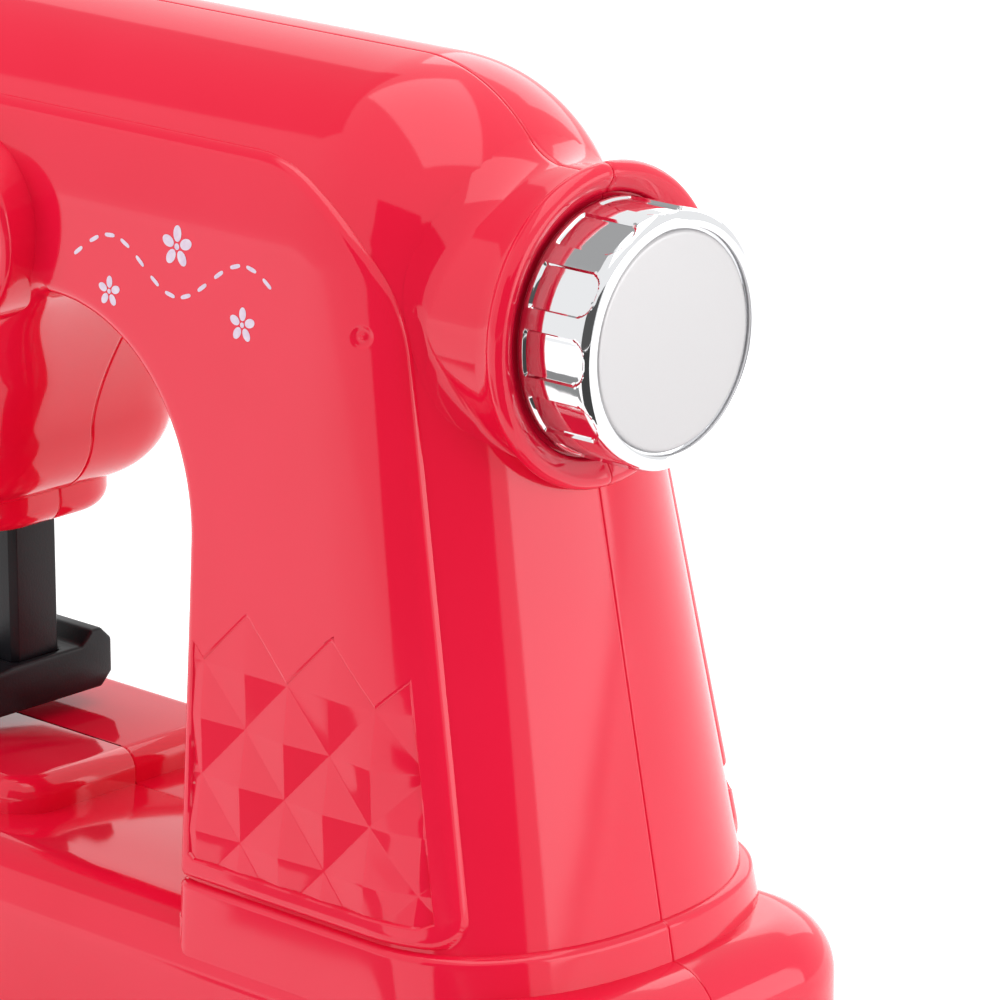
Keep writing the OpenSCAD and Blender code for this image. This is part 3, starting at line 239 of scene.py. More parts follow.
def block(name, centre, size, corner, edge, up):
    """A block with rounded corners in plan and one rounded rim, above or below."""
    bpy.ops.mesh.primitive_cube_add(size=1, location=[c * MM for c in centre])
    piece = named(name)
    piece.scale = [s * MM for s in size]
    bpy.ops.object.transform_apply(location=True, scale=True)
    choose(piece, "EDGE", lambda mid, way: abs(way.z) > 0.9)
    bpy.ops.mesh.bevel(offset=corner * MM, segments=20, affect="EDGES")
    level = centre[2] + (size[2] / 2 if up else -size[2] / 2)
    choose(piece, "EDGE", lambda mid, way: abs(mid.z - level) < 0.001 and abs(way.z) < 0.01)
    bpy.ops.mesh.bevel(offset=edge * MM, segments=12, affect="EDGES")
    bpy.ops.object.mode_set(mode="OBJECT")
    return piece


def front_half(piece):
    """Cuts a whole moulding at the parting plane, keeps the front and eases the edge into a fine groove."""
    work_on(piece)
    bpy.ops.object.mode_set(mode="EDIT")
    for depth in PARTING_AT[:0:-1]:
        bpy.ops.mesh.select_all(action="SELECT")
        bpy.ops.mesh.bisect(plane_co=(0, -depth * MM, 0), plane_no=(0, 1, 0))
    bpy.ops.mesh.select_all(action="SELECT")
    bpy.ops.mesh.bisect(plane_co=(0, 0, 0), plane_no=(0, 1, 0), clear_outer=True)
    bpy.ops.object.mode_set(mode="OBJECT")
    places, facing = points_of(piece), normals_of(piece)
    facing[:, 1] = 0
    length = np.linalg.norm(facing, axis=1, keepdims=True)
    facing /= np.where(length < 1e-6, 1, length)
    sink = np.interp(-places[:, 1], PARTING_AT, PARTING_SINK)
    place_points(piece, places - facing * sink[:, None])
    return piece


# Form of the body

def ease(t):
    return t * t * (3 - 2 * t)


def mix(a, b, t):
    return a + (b - a) * t


def depth_at(z, head):
    return mix(FOOT_HALF - (FOOT_HALF - ARM_HALF) / (AXIS - DECK) * (z - DECK), HEAD_HALF, head)


def right_x(z):
    return COLUMN_RIGHT - SLOPE * (z - DECK)


def left_x(z):
    return COLUMN_LEFT + 2 * (1 - (z - DECK) / (ARCH[1] - DECK))


def arch_curve(t):
    a, b, c, d = ARCH_SWEEP
    return (1 - t) ** 3 * a + 3 * t * (1 - t) ** 2 * b + 3 * t * t * (1 - t) * c + t ** 3 * d


def arch_inward(t):
    way = arch_curve(min(t + 0.01, 1)) - arch_curve(max(t - 0.01, 0))
    return np.array([way[1], -way[0]]) / np.linalg.norm(way)


def rounded_inside(first, second, radius):
    """Distance inside two edges that meet in a round corner."""
    u, v = np.maximum(radius - first, 0), np.maximum(radius - second, 0)
    return np.where((u > 0) & (v > 0), radius - np.hypot(u, v), np.minimum(first, second))


def panel_inside(x, z, foot):
    """Distance inside the raised panel's outline, with or without its lower edge."""
    right = (right_x(z) - PANEL_INSET - x) * math.cos(LEAN)
    inside = rounded_inside(right, PANEL_TOP - z, PANEL_CORNER)
    return np.minimum(inside, rounded_inside(right, z - PANEL_LOW, PANEL_FOOT_CORNER)) if foot else inside


def body_rows():
    """Stations along the moulding, from the foot over column, shoulder, arm and head corner down to the tub:
    outer point and inward way, inner point and its way, head share, inset, roundings, lift, place."""
    rows = []
    low, high = 41.425, SHOULDER
    foot = [24, 28, 32, 35, 37, 38.6, 39.4, 39.7, 40, 40.25, 40.45, 40.6, 40.7, 40.75, 40.95, 41.2, 41.4, 41.41]
    climb = [41.43, 41.46, 41.55, 41.7, 41.9, 42.2, 42.6, 43, 43.5, 44, 44.6, 45.3, 46, 46.8, 47.6]
    for z in foot + climb + list(np.arange(49, high - 0.5, 1.7)):
        t = max(z - low, 0) / (high - low)
        flare = FLARE * math.sqrt(max(0, 1 - (max(z - SKIRT_TOP, 0) / FLARE_RUN) ** 2))
        n = np.array([-mix(1, math.cos(LEAN), t), -math.sin(LEAN) * t])
        inner = z if t == 0 else mix(low, ARCH[1], t)
        rows.append(dict(o=np.array([right_x(z), z]) - n * flare, n=n, i=np.array([left_x(inner) - flare, inner]),
                         m=np.array([1.0, 0]), head=0, inset=-flare, a=ROUND,
                         r=4.0 if z < 40.8 else 1.3 + 0.9 * ease(t), lift=LIFT, place="panel"))
    for t in np.linspace(0, 1, 44)[:-1]:
        q = mix(LEAN, math.pi / 2, t)
        n = np.array([-math.cos(q), -math.sin(q)])
        m = np.array([math.cos(math.pi / 2 * t), math.sin(math.pi / 2 * t)])
        rows.append(dict(o=CORNER - n * CORNER_R, n=n, i=ARCH + m * ARCH_R, m=m, head=0, inset=0, a=ROUND,
                         r=2.2 + 0.8 * ease(t), lift=LIFT, place="panel"))
    for t in np.linspace(0, 1, 40)[:-1]:
        rows.append(dict(o=np.array([mix(CORNER[0], HEAD_LEFT + HEAD_CORNER_R, t), TOP]), n=np.array([0, -1.0]),
                         i=arch_curve(0.3 * t), m=arch_inward(0.3 * t), head=0, inset=0, a=ROUND,
                         r=mix(3, HEAD_EDGE, t / 2), lift=LIFT, place="panel"))
    for t in np.linspace(0, 1, 44)[:-1]:
        q = mix(math.pi / 2, math.pi, t)
        n = np.array([-math.cos(q), -math.sin(q)])
        s = mix(0.3, 0.7, t)
        rows.append(dict(o=np.array([HEAD_LEFT + HEAD_CORNER_R, TOP - HEAD_CORNER_R]) - n * HEAD_CORNER_R, n=n,
                         i=arch_curve(s), m=arch_inward(s), head=ease(t), inset=0, a=mix(ROUND, HEAD_ROUND, t),
                         r=mix(3, HEAD_EDGE, (1 + t) / 2), lift=LIFT * (1 - ease(t)), place="head"))
    for t in np.linspace(0, 1, 24)[:-1]:
        s = mix(0.7, 1, t)
        rows.append(dict(o=np.array([HEAD_LEFT, mix(TOP - HEAD_CORNER_R, TUB, t)]), n=np.array([1.0, 0]),
                         i=arch_curve(s), m=arch_inward(s), head=1, inset=0, a=HEAD_ROUND, r=HEAD_EDGE, lift=0,
                         place="head"))
    for q in np.linspace(0, math.pi / 2, 18):
        inset = TUB_R * (1 - math.cos(q))
        share = (HEAD_W - 2 * inset) / HEAD_W
        z = TUB - TUB_R * math.sin(q)
        rows.append(dict(o=np.array([HEAD_LEFT + inset, z]), n=np.array([1.0, 0]),
                         i=np.array([HEAD_RIGHT - inset, z]), m=np.array([-1.0, 0]), head=1, inset=inset,
                         a=HEAD_ROUND * share, r=HEAD_EDGE * share, lift=0, place="head"))
    return rows


GROOVE_DEPTHS = np.array([0, 0.16, 0.35, 0.7, 1.3])
EDGE_STEPS = np.array([-1.3, -0.7, -0.3, -0.08, 0, 0.02, 0.09, 0.22, 0.42, 0.7, 1.0, 1.35, 1.7, 2.1, 2.6, 3.2, 3.9,
                       4.6, 5.4, 6.3])


def swell(inside):
    """Share of the panel's lift at a distance inside its edge: a steep foot and a soft round shoulder."""
    t = np.clip(inside / 1.9, 0, 1)
    return np.sqrt(1 - (1 - t) ** 2)


def section(row):
    """Points across the moulding at one station, from the parting line at the outer edge to that at the inner."""
    o, n, i, m, a, r = row["o"], row["n"], row["i"], row["m"], row["a"], row["r"]
    share = np.linspace(0, 1, 601)
    ray = o + n * a * share[:, None]
    if row["place"] == "panel":
        inside = panel_inside(ray[:, 0], ray[:, 1], False)
        edge = float(np.interp(0, inside, share)) if inside[0] < 0 < inside[-1] else EDGE_SHARE_PANEL
    else:
        edge = EDGE_SHARE_HEAD
    half = depth_at(o[1], row["head"]) - row["inset"]
    near = 1 - np.cos(np.arcsin((GROOVE_DEPTHS / half) ** (POWER / 2))) ** (2 / POWER)
    first, last = near[-1], edge + EDGE_STEPS[0] / a

    def angle(s):
        return np.arccos((1 - s) ** (POWER / 2))

    rounding = 1 - np.cos(np.linspace(angle(first), angle(last), 14)[1:-1]) ** (2 / POWER)
    steps = edge + EDGE_STEPS / a
    flat = 1 - np.cos(np.linspace(angle(min(steps[-1], 0.97)), math.pi / 2, 10)[1:]) ** (2 / POWER)
    s = np.concatenate([near, rounding, steps, flat])
    p = o + n * a * s[:, None]
    y = (depth_at(p[:, 1], row["head"]) - row["inset"]) * (1 - (1 - np.clip(s, 0, 1)) ** POWER) ** (1 / POWER)
    inside = panel_inside(p[:, 0], p[:, 1], True) if row["place"] == "panel" else (s - edge) * a
    y = y + row["lift"] * swell(inside)
    sink = np.interp(GROOVE_DEPTHS, GROOVE_DEPTHS[:3], PARTING_SINK)
    p[:len(sink)] += n * sink[:, None]
    start, stop = o + n * a, i + m * r
    q = start + (stop - start) * np.linspace(0, 1, 17)[1:, None]
    full = row["lift"] * (swell(panel_inside(q[:, 0], q[:, 1], True)) if row["place"] == "panel" else 1)
    front = depth_at(q[:, 1], row["head"]) - row["inset"] + full
    turn = np.linspace(0, math.pi / 2, 8)[1:, None]
    f = i + m * r * (1 - np.sin(turn))
    lift = row["lift"] * (swell(panel_inside(f[:, 0], f[:, 1], True)) if row["place"] == "panel" else 1)
    round_y = depth_at(f[:, 1], row["head"]) - row["inset"] - r * (1 - np.cos(turn[:, 0])) + lift
    back = round_y[-1] * np.array([0.85, 0.65, 0.45, 0.25, 0.12])
    back = np.concatenate([back, GROOVE_DEPTHS[::-1]])
    under = np.repeat(i[None], len(back), 0)
    under[-len(sink):] += m * sink[::-1, None]
    p = np.concatenate([p, q, f, under])
    y = np.concatenate([y, front, round_y, back])
    return np.stack([p[:, 0], -y, p[:, 1]], 1)


def body_skin(name):
    """Outer skin of the front body half, open where the handwheel's neck passes through."""
    grid = np.array([section(row) for row in body_rows()])
    rows, columns = grid.shape[:2]
    bpy.ops.mesh.primitive_grid_add(x_subdivisions=columns - 1, y_subdivisions=rows - 1, size=2)
    piece = named(name)
    flat = points_of(piece) * MM
    column = np.rint((flat[:, 0] + 1) / 2 * (columns - 1)).astype(int)
    row = np.rint((flat[:, 1] + 1) / 2 * (rows - 1)).astype(int)
    places = grid[row, column]
    place_points(piece, places)
    edit_all(piece)
    bpy.ops.mesh.normals_make_consistent(inside=False)
    bpy.ops.object.mode_set(mode="OBJECT")
    facing = normals_of(piece)[np.argmin(np.abs(places - [30, -40, 60]).sum(1))]
    if facing[1] > 0:
        bpy.ops.object.mode_set(mode="EDIT")
        bpy.ops.mesh.flip_normals()
        bpy.ops.object.mode_set(mode="OBJECT")
    choose(piece, "FACE", lambda mid, way: mid.x > 58 and math.hypot(mid.y, mid.z - AXIS) < NECK_R - 1.5)
    bpy.ops.mesh.delete(type="FACE")
    bpy.ops.object.mode_set(mode="OBJECT")
    return piece


def tree_of(piece):
    mesh = piece.data
    return BVHTree.FromPolygons([v.co / MM for v in mesh.vertices], [tuple(f.vertices) for f in mesh.polygons])


def drape(tree, places, proud):
    """Lays flat work given as (x, height, z) on the front of the skin."""
    out = np.empty_like(places)
    for k, (x, h, z) in enumerate(places):
        hit = tree.ray_cast(Vector((x, -80, z)), Vector((0, 1, 0)))[0]
        out[k] = (x, (hit.y if hit else -30) - h - proud, z)
    return out


def neck_cove(name, tree):
    """The cove where the neck leaves the column: it lies tangent on the column and rises into the neck."""
    ends = np.array([0, 0.005, 0.018])
    turns = np.concatenate([ends, np.linspace(0.05, math.pi - 0.05, 90), math.pi - ends[::-1]])
    steps = 20
    far, inwards = Vector((130, 0, AXIS)), Vector((-1, 0, 0))
    near, ways = [], []
    for q in turns:
        way = Vector((0, -math.sin(q), math.cos(q)))
        root = tree.ray_cast(far + way * NECK_R, inwards)[0]
        width = min(COVE_WIDTH + NECK_FILLET * abs(math.cos(q)), max(0.05, (COVE_ROOM - root.x) * 0.75))
        spot, facing = tree.ray_cast(far + way * (NECK_R + width), inwards)[:2]
        near.append((spot.x, width))
        ways.append(facing.dot(way) / max(facing.x, 0.25))
    calm = np.hanning(17)[1:-1] / np.hanning(17).sum()
    near, ways = (np.array([np.convolve(np.pad(line, 7, mode="reflect"), calm, mode="valid") for line in lines]).T
                  for lines in (np.array(near).T, [ways]))
    bend = np.minimum(near[:, 0] + near[:, 1] * ways[:, 0], COVE_BEND)
    bpy.ops.mesh.primitive_grid_add(x_subdivisions=steps, y_subdivisions=len(turns) - 1, size=2)
    piece = named(name)
    flat = points_of(piece) * MM
    share = (flat[:, 0] + 1) / 2
    k = np.rint((flat[:, 1] + 1) / 2 * (len(turns) - 1)).astype(int)
    top = np.minimum(bend + near[:, 1], COVE_TOP)
    x = (1 - share) ** 2 * near[k, 0] + 2 * share * (1 - share) * bend[k] + share ** 2 * top[k]
    x = x - 0.05 * (share == 0)
    reach = NECK_R + (1 - share) ** 2 * near[k, 1]
    y = -reach * np.sin(turns[k])
    sink = np.interp(-y, PARTING_AT, PARTING_SINK)
    place_points(piece, np.stack([x - sink, y, AXIS + (reach - sink) * np.cos(turns[k])], 1))
    tidy(piece)
    return piece


def edge_loop(piece):
    """The outer boundary of an open sheet, in order, as point numbers."""
    used = {}
    for face in piece.data.polygons:
        for key in face.edge_keys:
            used[key] = used.get(key, 0) + 1
    ways = {}
    for a, b in (key for key, count in used.items() if count == 1):
        ways.setdefault(a, []).append(b)
        ways.setdefault(b, []).append(a)
    start = min(ways)
    loop, last, at = [start], None, start
    while True:
        step = next(k for k in ways[at] if k != last)
        if step == start:
            return loop
        loop.append(step)
        last, at = at, step


def open_hole(piece, loop, low, high, inside):
    """Cuts a skin along a closed line in the front plane and takes out what lies inside it."""
    bpy.ops.mesh.primitive_circle_add(vertices=len(loop), radius=MM, fill_type="NOTHING")
    wall = named("hole_wall")
    places = points_of(wall)
    angle = np.arctan2(places[:, 1], places[:, 0])
    order = np.argsort(np.argsort(angle))
    place_points(wall, [(loop[k][0], low, loop[k][1]) for k in order])
    work_on(wall)
    bpy.ops.object.mode_set(mode="EDIT")
    bpy.ops.mesh.select_mode(type="VERT")
    bpy.ops.mesh.select_all(action="SELECT")
    bpy.ops.mesh.extrude_region_move(TRANSFORM_OT_translate={"value": (0, (high - low) * MM, 0)})
    bpy.ops.object.mode_set(mode="OBJECT")
    for face in piece.data.polygons:
        face.material_index = 0
    wall.data.materials.append(bpy.data.materials.get("skin_side") or bpy.data.materials.new("skin_side"))
    if not piece.data.materials:
        piece.data.materials.append(bpy.data.materials.get("skin_face") or bpy.data.materials.new("skin_face"))
    name = piece.name
    work_on(piece)
    wall.select_set(True)
    bpy.ops.object.join()
    piece = named(name)
    walls = [k for k, m in enumerate(piece.data.materials) if m.name == "skin_side"]
    bpy.ops.object.mode_set(mode="EDIT")
    bpy.ops.mesh.select_mode(type="FACE")
    bpy.ops.mesh.select_all(action="DESELECT")
    bpy.ops.object.mode_set(mode="OBJECT")
    for face in piece.data.polygons:
        face.select = face.material_index in walls
    bpy.ops.object.mode_set(mode="EDIT")
    bpy.ops.mesh.intersect(mode="SELECT_UNSELECT", separate_mode="CUT", solver="EXACT")
    bpy.ops.mesh.select_all(action="DESELECT")
    bpy.ops.object.mode_set(mode="OBJECT")
    for face in piece.data.polygons:
        corners = [piece.data.vertices[k].co / MM for k in face.vertices]
        face.select = face.material_index in walls or inside(face.center / MM, corners)
    bpy.ops.object.mode_set(mode="EDIT")
    bpy.ops.mesh.delete(type="FACE")
    bpy.ops.mesh.select_all(action="SELECT")
    bpy.ops.mesh.delete_loose()
    bpy.ops.object.mode_set(mode="OBJECT")
    piece.data.materials.clear()
    return piece


def round_hole(sheet, middle, radius, steps, low, high):
    """A round hole through the wall of a skin, seen from the front."""
    def cut_out(mid, corners):
        return abs(mid.y) > 8 and all(math.dist((c.x, c.z), middle) < radius + CUT_PLAY for c in corners)

    return open_hole(sheet, np.array(arc(middle, radius, 0, 360, steps)[:-1]), low, high, cut_out)


def quilt_depth(z):
    return np.interp(z, [71, 80.8, 91], [1.0, 0.4, 0.14])


def quilt_field(name, skin):
    """The quilted field: diamonds poked into low pyramids, trimmed to the field, laid in a shallow pocket."""
    count, side = 10, QUILT_STEP * math.sqrt(2)
    bpy.ops.mesh.primitive_grid_add(x_subdivisions=count, y_subdivisions=count, size=count * side * MM)
    piece = named(name)
    flat = points_of(piece)
    turn = math.sqrt(0.5)
    x = QUILT_X + 4 * QUILT_STEP + (flat[:, 0] - flat[:, 1]) * turn
    z = QUILT_Z + 3 * QUILT_STEP + (flat[:, 0] + flat[:, 1]) * turn
    place_points(piece, np.stack([x, np.zeros_like(x), z], 1))
    choose(piece, "FACE", lambda mid, way: mid.z > 83 or mid.z < 38 or mid.x > 90 or mid.x < 10)
    bpy.ops.mesh.delete(type="FACE")
    bpy.ops.mesh.select_all(action="SELECT")
    bpy.ops.mesh.poke()
    bpy.ops.object.mode_set(mode="OBJECT")
    flat = points_of(piece)
    lattice = np.rint((flat[:, 0] - QUILT_X) / QUILT_STEP) + np.rint((flat[:, 2] - QUILT_Z) / QUILT_STEP)
    flat[:, 1] = np.where(lattice % 2 == 0, -0.06, -quilt_depth(flat[:, 2]))
    place_points(piece, flat)
    choose(piece, "EDGE", lambda mid, way: True)
    bpy.ops.mesh.select_all(action="SELECT")
    bpy.ops.mesh.region_to_loop()
    bpy.ops.mesh.select_all(action="INVERT")
    bpy.ops.mesh.bevel(offset=0.22 * MM, segments=2, affect="EDGES")
    low, right = QUILT_LOW, right_x(QUILT_LOW) - QUILT_SIDE
    left = left_x(QUILT_LOW) + 2.4
    cuts = [((left, low), (0, -1)), ((right, low), (1, SLOPE)), ((left, low), (-1, -0.03)),
            ((right - 2.2, low), (0.42, -0.9)), ((right - 0.75, low), (0.82, -0.57)),
            ((left + 1.3, low), (-0.5, -0.86))]
    for (cx, cz), (nx, nz) in cuts:
        bpy.ops.mesh.select_all(action="SELECT")
        bpy.ops.mesh.bisect(plane_co=(cx * MM, 0, cz * MM), plane_no=(nx, 0, nz), clear_outer=True)
    bpy.ops.mesh.select_all(action="SELECT")
    bpy.ops.mesh.remove_doubles(threshold=0.02 * MM)
    bpy.ops.mesh.subdivide(number_cuts=2)
    done = 0.0
    for out, share in ((0.2, 0.35), (0.5, 0.0), (1.3, None)):
        bpy.ops.object.mode_set(mode="OBJECT")
        loop = edge_loop(piece)
        flat = points_of(piece)
        ring, height = flat[loop][:, [0, 2]], flat[loop, 1]
        before, after = ring - np.roll(ring, 1, 0), np.roll(ring, -1, 0) - ring
        ways = [np.stack([w[:, 1], -w[:, 0]], 1) / np.linalg.norm(w, axis=1, keepdims=True)
                for w in (before, after)]
        way = ways[0] + ways[1]
        way /= np.maximum((way * ways[0]).sum(1, keepdims=True), 0.5)
        turning = np.sum(ring[:, 0] * np.roll(ring[:, 1], -1) - np.roll(ring[:, 0], -1) * ring[:, 1])
        ring = ring + way * np.sign(turning) * (out - done)
        height = height * share if share is not None else height - 0.4
        done = out
        if share == 0:
            rim = ring
        grown = {tuple(np.round(flat[k], 4)): (ring[n, 0], height[n], ring[n, 1]) for n, k in enumerate(loop)}
        bpy.ops.object.mode_set(mode="EDIT")
        bpy.ops.mesh.select_all(action="SELECT")
        bpy.ops.mesh.region_to_loop()
        bpy.ops.mesh.extrude_edges_move()
        bpy.ops.object.mode_set(mode="OBJECT")
        flat = points_of(piece)
        for point in piece.data.vertices:
            if point.select:
                flat[point.index] = grown[tuple(np.round(flat[point.index], 4))]
        place_points(piece, flat)
    place_points(piece, drape(tree_of(skin), points_of(piece), 0))
    tidy(piece, False)
    return piece, rim


def within(loop):
    """A test that tells whether a place lies inside a closed line in the front plane."""
    xs, zs = loop[:, 0], loop[:, 1]
    nx, nz = np.roll(xs, -1), np.roll(zs, -1)

    def test(place):
        crossing = (zs > place.z) != (nz > place.z)
        at = xs + (place.z - zs) * (nx - xs) / np.where(nz == zs, 1e-9, nz - zs)
        return bool(np.count_nonzero(crossing & (place.x < at)) % 2)

    return test


def inner_side(node, skins, name, deep):
    """Walls, ribs and bosses inside a moulding: the solid's own faces, apart from those that the skins cover."""
    piece = copy_of(frame["nodes"][node], name)
    piece.data.materials.clear()
    tidy(piece, False)
    trees = [tree_of(skin) for skin in skins]
    shaft_clear, neck_clear, reach = 7.2, 31, 1.7

    def covered(mid, way):
        if mid.x > NECK_ROOT and shaft_clear < math.hypot(mid.y, mid.z - AXIS) < neck_clear:
            return True
        for tree in trees:
            spot, facing = tree.find_nearest(mid, reach)[:2]
            if spot is not None and (deep or facing.dot(way) > 0.1):
                return True
        return False

    choose(piece, "FACE", covered)
    bpy.ops.mesh.delete(type="FACE")
    bpy.ops.object.mode_set(mode="OBJECT")
    return piece


def hand_over(piece, body, slot, finish, *nodes):
    """Gives a finished piece its material and body, and hides the solids that it stands for; the slot is not used."""
    piece.data.materials.clear()
    piece.data.materials.append(finish)
    for face in piece.data.polygons:
        face.material_index = 0
    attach(piece, body)
    if nodes:
        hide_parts(*nodes)


# Materials

def hue(code):
    """An sRGB hex colour as linear light."""
    parts = [int(code[k:k + 2], 16) / 255 for k in (1, 3, 5)]
    return [c / 12.92 if c <= 0.04045 else ((c + 0.055) / 1.055) ** 2.4 for c in parts] + [1.0]


def put(tree, kind, inputs=None, **settings):
    """Adds one node with its settings; each input gets a value or a link."""
    node = tree.nodes.new("ShaderNode" + kind)
    for key, value in settings.items():
        setattr(node, key, value)
    for key, value in (inputs or {}).items():
        if isinstance(value, bpy.types.NodeSocket):
            tree.links.new(value, node.inputs[key])
        else:
            node.inputs[key].default_value = value
    return node


def material(name, **sockets):
    """A new material: its tree, its shader with these sockets set, and the place on the piece."""
    made = bpy.data.materials.new(name)
    made.use_nodes = True
    tree = made.node_tree
    shader = tree.nodes["Principled BSDF"]
    for key, value in sockets.items():
        shader.inputs[key.replace("_", " ")].default_value = value
    return made, tree, shader, put(tree, "TexCoord").outputs["Object"]


def noise(tree, place, size, detail=2.0):
    """Noise with blotches of about this size in millimetres."""
    return put(tree, "TexNoise", {"Vector": place, "Scale": 1000 / size, "Detail": detail}).outputs["Fac"]


def ramp(tree, value, low, low_code, high, high_code, steps="LINEAR"):
    """A colour that runs from one to another as a value rises."""
    tone = put(tree, "ValToRGB", {"Fac": value})
    tone.color_ramp.interpolation = steps
    first, second = tone.color_ramp.elements
    first.position, first.color = low, hue(low_code)
    second.position, second.color = high, hue(high_code)
    return tone.outputs["Color"]


def roughen(tree, shader, value, low, high, span=(0.0, 1.0)):
    """Lets a value set the roughness between two limits."""
    soft = put(tree, "MapRange", {"Value": value, "From Min": span[0], "From Max": span[1], "To Min": low,
                                  "To Max": high})
    tree.links.new(soft.outputs["Result"], shader.inputs["Roughness"])


def emboss(tree, shader, value, strength, distance):
    """Lets a value stand out as fine relief; distance in metres."""
    relief = put(tree, "Bump", {"Height": value, "Strength": strength, "Distance": distance})
    tree.links.new(relief.outputs["Normal"], shader.inputs["Normal"])


# Moulded gloss ABS, coral red: deep even colour, mirror-like skin that waves faintly, a little settled dust
red_abs, tree, shader, place = material("moulded_gloss_abs_red", IOR=1.53)
tone = ramp(tree, noise(tree, place, 45), 0.35, "#E91237", 0.65, "#EC163C")
grains = put(tree, "TexVoronoi", {"Vector": place, "Scale": 1000 / 11})
small = put(tree, "Math", {0: grains.outputs["Distance"], 1: 0.022}, operation="LESS_THAN")
pick = put(tree, "SeparateColor", {"Color": grains.outputs["Color"]})
rare = put(tree, "Math", {0: pick.outputs["Red"], 1: 0.86}, operation="GREATER_THAN")
speck = put(tree, "Math", {0: small.outputs[0], 1: rare.outputs[0]}, operation="MULTIPLY")
faint = put(tree, "Math", {0: speck.outputs[0], 1: 0.55}, operation="MULTIPLY")
dusty = put(tree, "Mix", {"Factor": faint.outputs[0], "A": tone, "B": hue("#FFB9B4")}, data_type="RGBA")
tree.links.new(dusty.outputs["Result"], shader.inputs["Base Color"])
roughen(tree, shader, noise(tree, place, 28, 3.0), 0.05, 0.11)
emboss(tree, shader, noise(tree, place, 22, 1.0), 0.05, 0.001)

# Bright chrome on moulded plastic: a near mirror, with the faint waves of the plastic under it and light smudges
chrome, tree, shader, place = material("chrome_plated_plastic", Metallic=1.0, Base_Color=hue("#E9EAEC"))
roughen(tree, shader, noise(tree, place, 9, 4.0), 0.025, 0.075, (0.35, 0.75))
emboss(tree, shader, noise(tree, place, 6), 0.03, 0.001)

# Satin plated disc: pale grey, softly bright all over, with a fine bead-blasted grain drawn at 0.35 mm to show
satin, tree, shader, place = material("satin_plated_disc", Metallic=0.6, Base_Color=hue("#CBC9CA"))
grain = noise(tree, place, 0.35)
roughen(tree, shader, grain, 0.36, 0.5)
emboss(tree, shader, grain, 0.04, 0.0002)

# Black moulded plastic of the needle bar and foot: satin, fine spark grain of about 0.5 mm, paler on rubbed spots
black, tree, shader, place = material("moulded_satin_plastic_black", IOR=1.46, Specular_IOR_Level=0.3)
rub = noise(tree, place, 14, 4.0)
tree.links.new(ramp(tree, rub, 0.4, "#100F13", 0.75, "#1B1A1F"), shader.inputs["Base Color"])
roughen(tree, shader, rub, 0.24, 0.42)
emboss(tree, shader, noise(tree, place, 0.5), 0.12, 0.0002)

# Off-white moulded cover: semi-matt with a fine 0.8 mm texture and slight yellowing in broad patches
white, tree, shader, place = material("moulded_matt_abs_white", IOR=1.53, Roughness=0.45)
patch = noise(tree, place, 60, 3.0)
tree.links.new(ramp(tree, patch, 0.35, "#E6E4DC", 0.7, "#EFEEE9"), shader.inputs["Base Color"])
emboss(tree, shader, noise(tree, place, 0.8), 0.1, 0.0003)

# Zinc-plated steel of screws, shaft and springs: cool grey with mottled brightness
steel, tree, shader, place = material("zinc_plated_steel", Metallic=1.0, Base_Color=hue("#B9BEC3"))
roughen(tree, shader, noise(tree, place, 3, 5.0), 0.2, 0.42)

# Sintered brass bush and pinion: warm yellow, slightly grainy
brass, tree, shader, place = material("sintered_brass", Metallic=1.0, Base_Color=hue("#C9A55E"))
roughen(tree, shader, noise(tree, place, 1.2, 4.0), 0.25, 0.5)

# Moulded rubber feet: dark grey, dull, with pale scuff marks
rubber, tree, shader, place = material("moulded_rubber_grey", Roughness=0.8)
scuff = noise(tree, place, 2.5, 6.0)
tree.links.new(ramp(tree, scuff, 0.45, "#333335", 0.8, "#5A5A5B"), shader.inputs["Base Color"])

# Printed film round a dry cell: blue, glossy, with a paler band round the plus end
wrap, tree, shader, place = material("printed_cell_film", Roughness=0.25)
axes = put(tree, "SeparateXYZ", {"Vector": place})
along = put(tree, "MapRange", {"Value": axes.outputs["X"], "From Min": -0.03, "From Max": 0.03}).outputs["Result"]
tree.links.new(ramp(tree, along, 0.0, "#2F6FB0", 0.72, "#C9D3DC", "CONSTANT"), shader.inputs["Base Color"])

# Pale lilac screen print on the panel: thin, half-matt ink with slightly uneven coverage
ink, tree, shader, place = material("screen_print_pale_lilac", Roughness=0.35)
cover = noise(tree, place, 1.5, 3.0)
tree.links.new(ramp(tree, cover, 0.3, "#D9C2DA", 0.7, "#E9DCEA"), shader.inputs["Base Color"])

slot_finish = {"red_plastic": red_abs, "chrome_plating": chrome, "satin_disc": satin, "black_plastic": black,
               "white_plastic": white, "steel": steel, "brass": brass, "rubber": rubber, "cell_wrap": wrap}
for entry in frame["record"]["subparts"]:
    mesh = frame["nodes"][entry["node"]].data
    mesh.materials.clear()
    mesh.materials.append(slot_finish[entry["material_slot"]])

# Body: one front skin with its quilted field, the same again for the rear, and what each half carries
skin = body_skin("front_skin")
front_tree = tree_of(skin)
cove = neck_cove("front_cove", front_tree)
rear_cove = flipped(cove, "rear_cove")
quilt, rim = quilt_field("front_quilt", skin)
in_field = within(rim)
skin = open_hole(skin, rim, -60, -20, lambda mid, corners: mid.y < -20 and in_field(mid))
rear_skin, rear_quilt = flipped(skin, "rear_skin"), flipped(quilt, "rear_quilt")

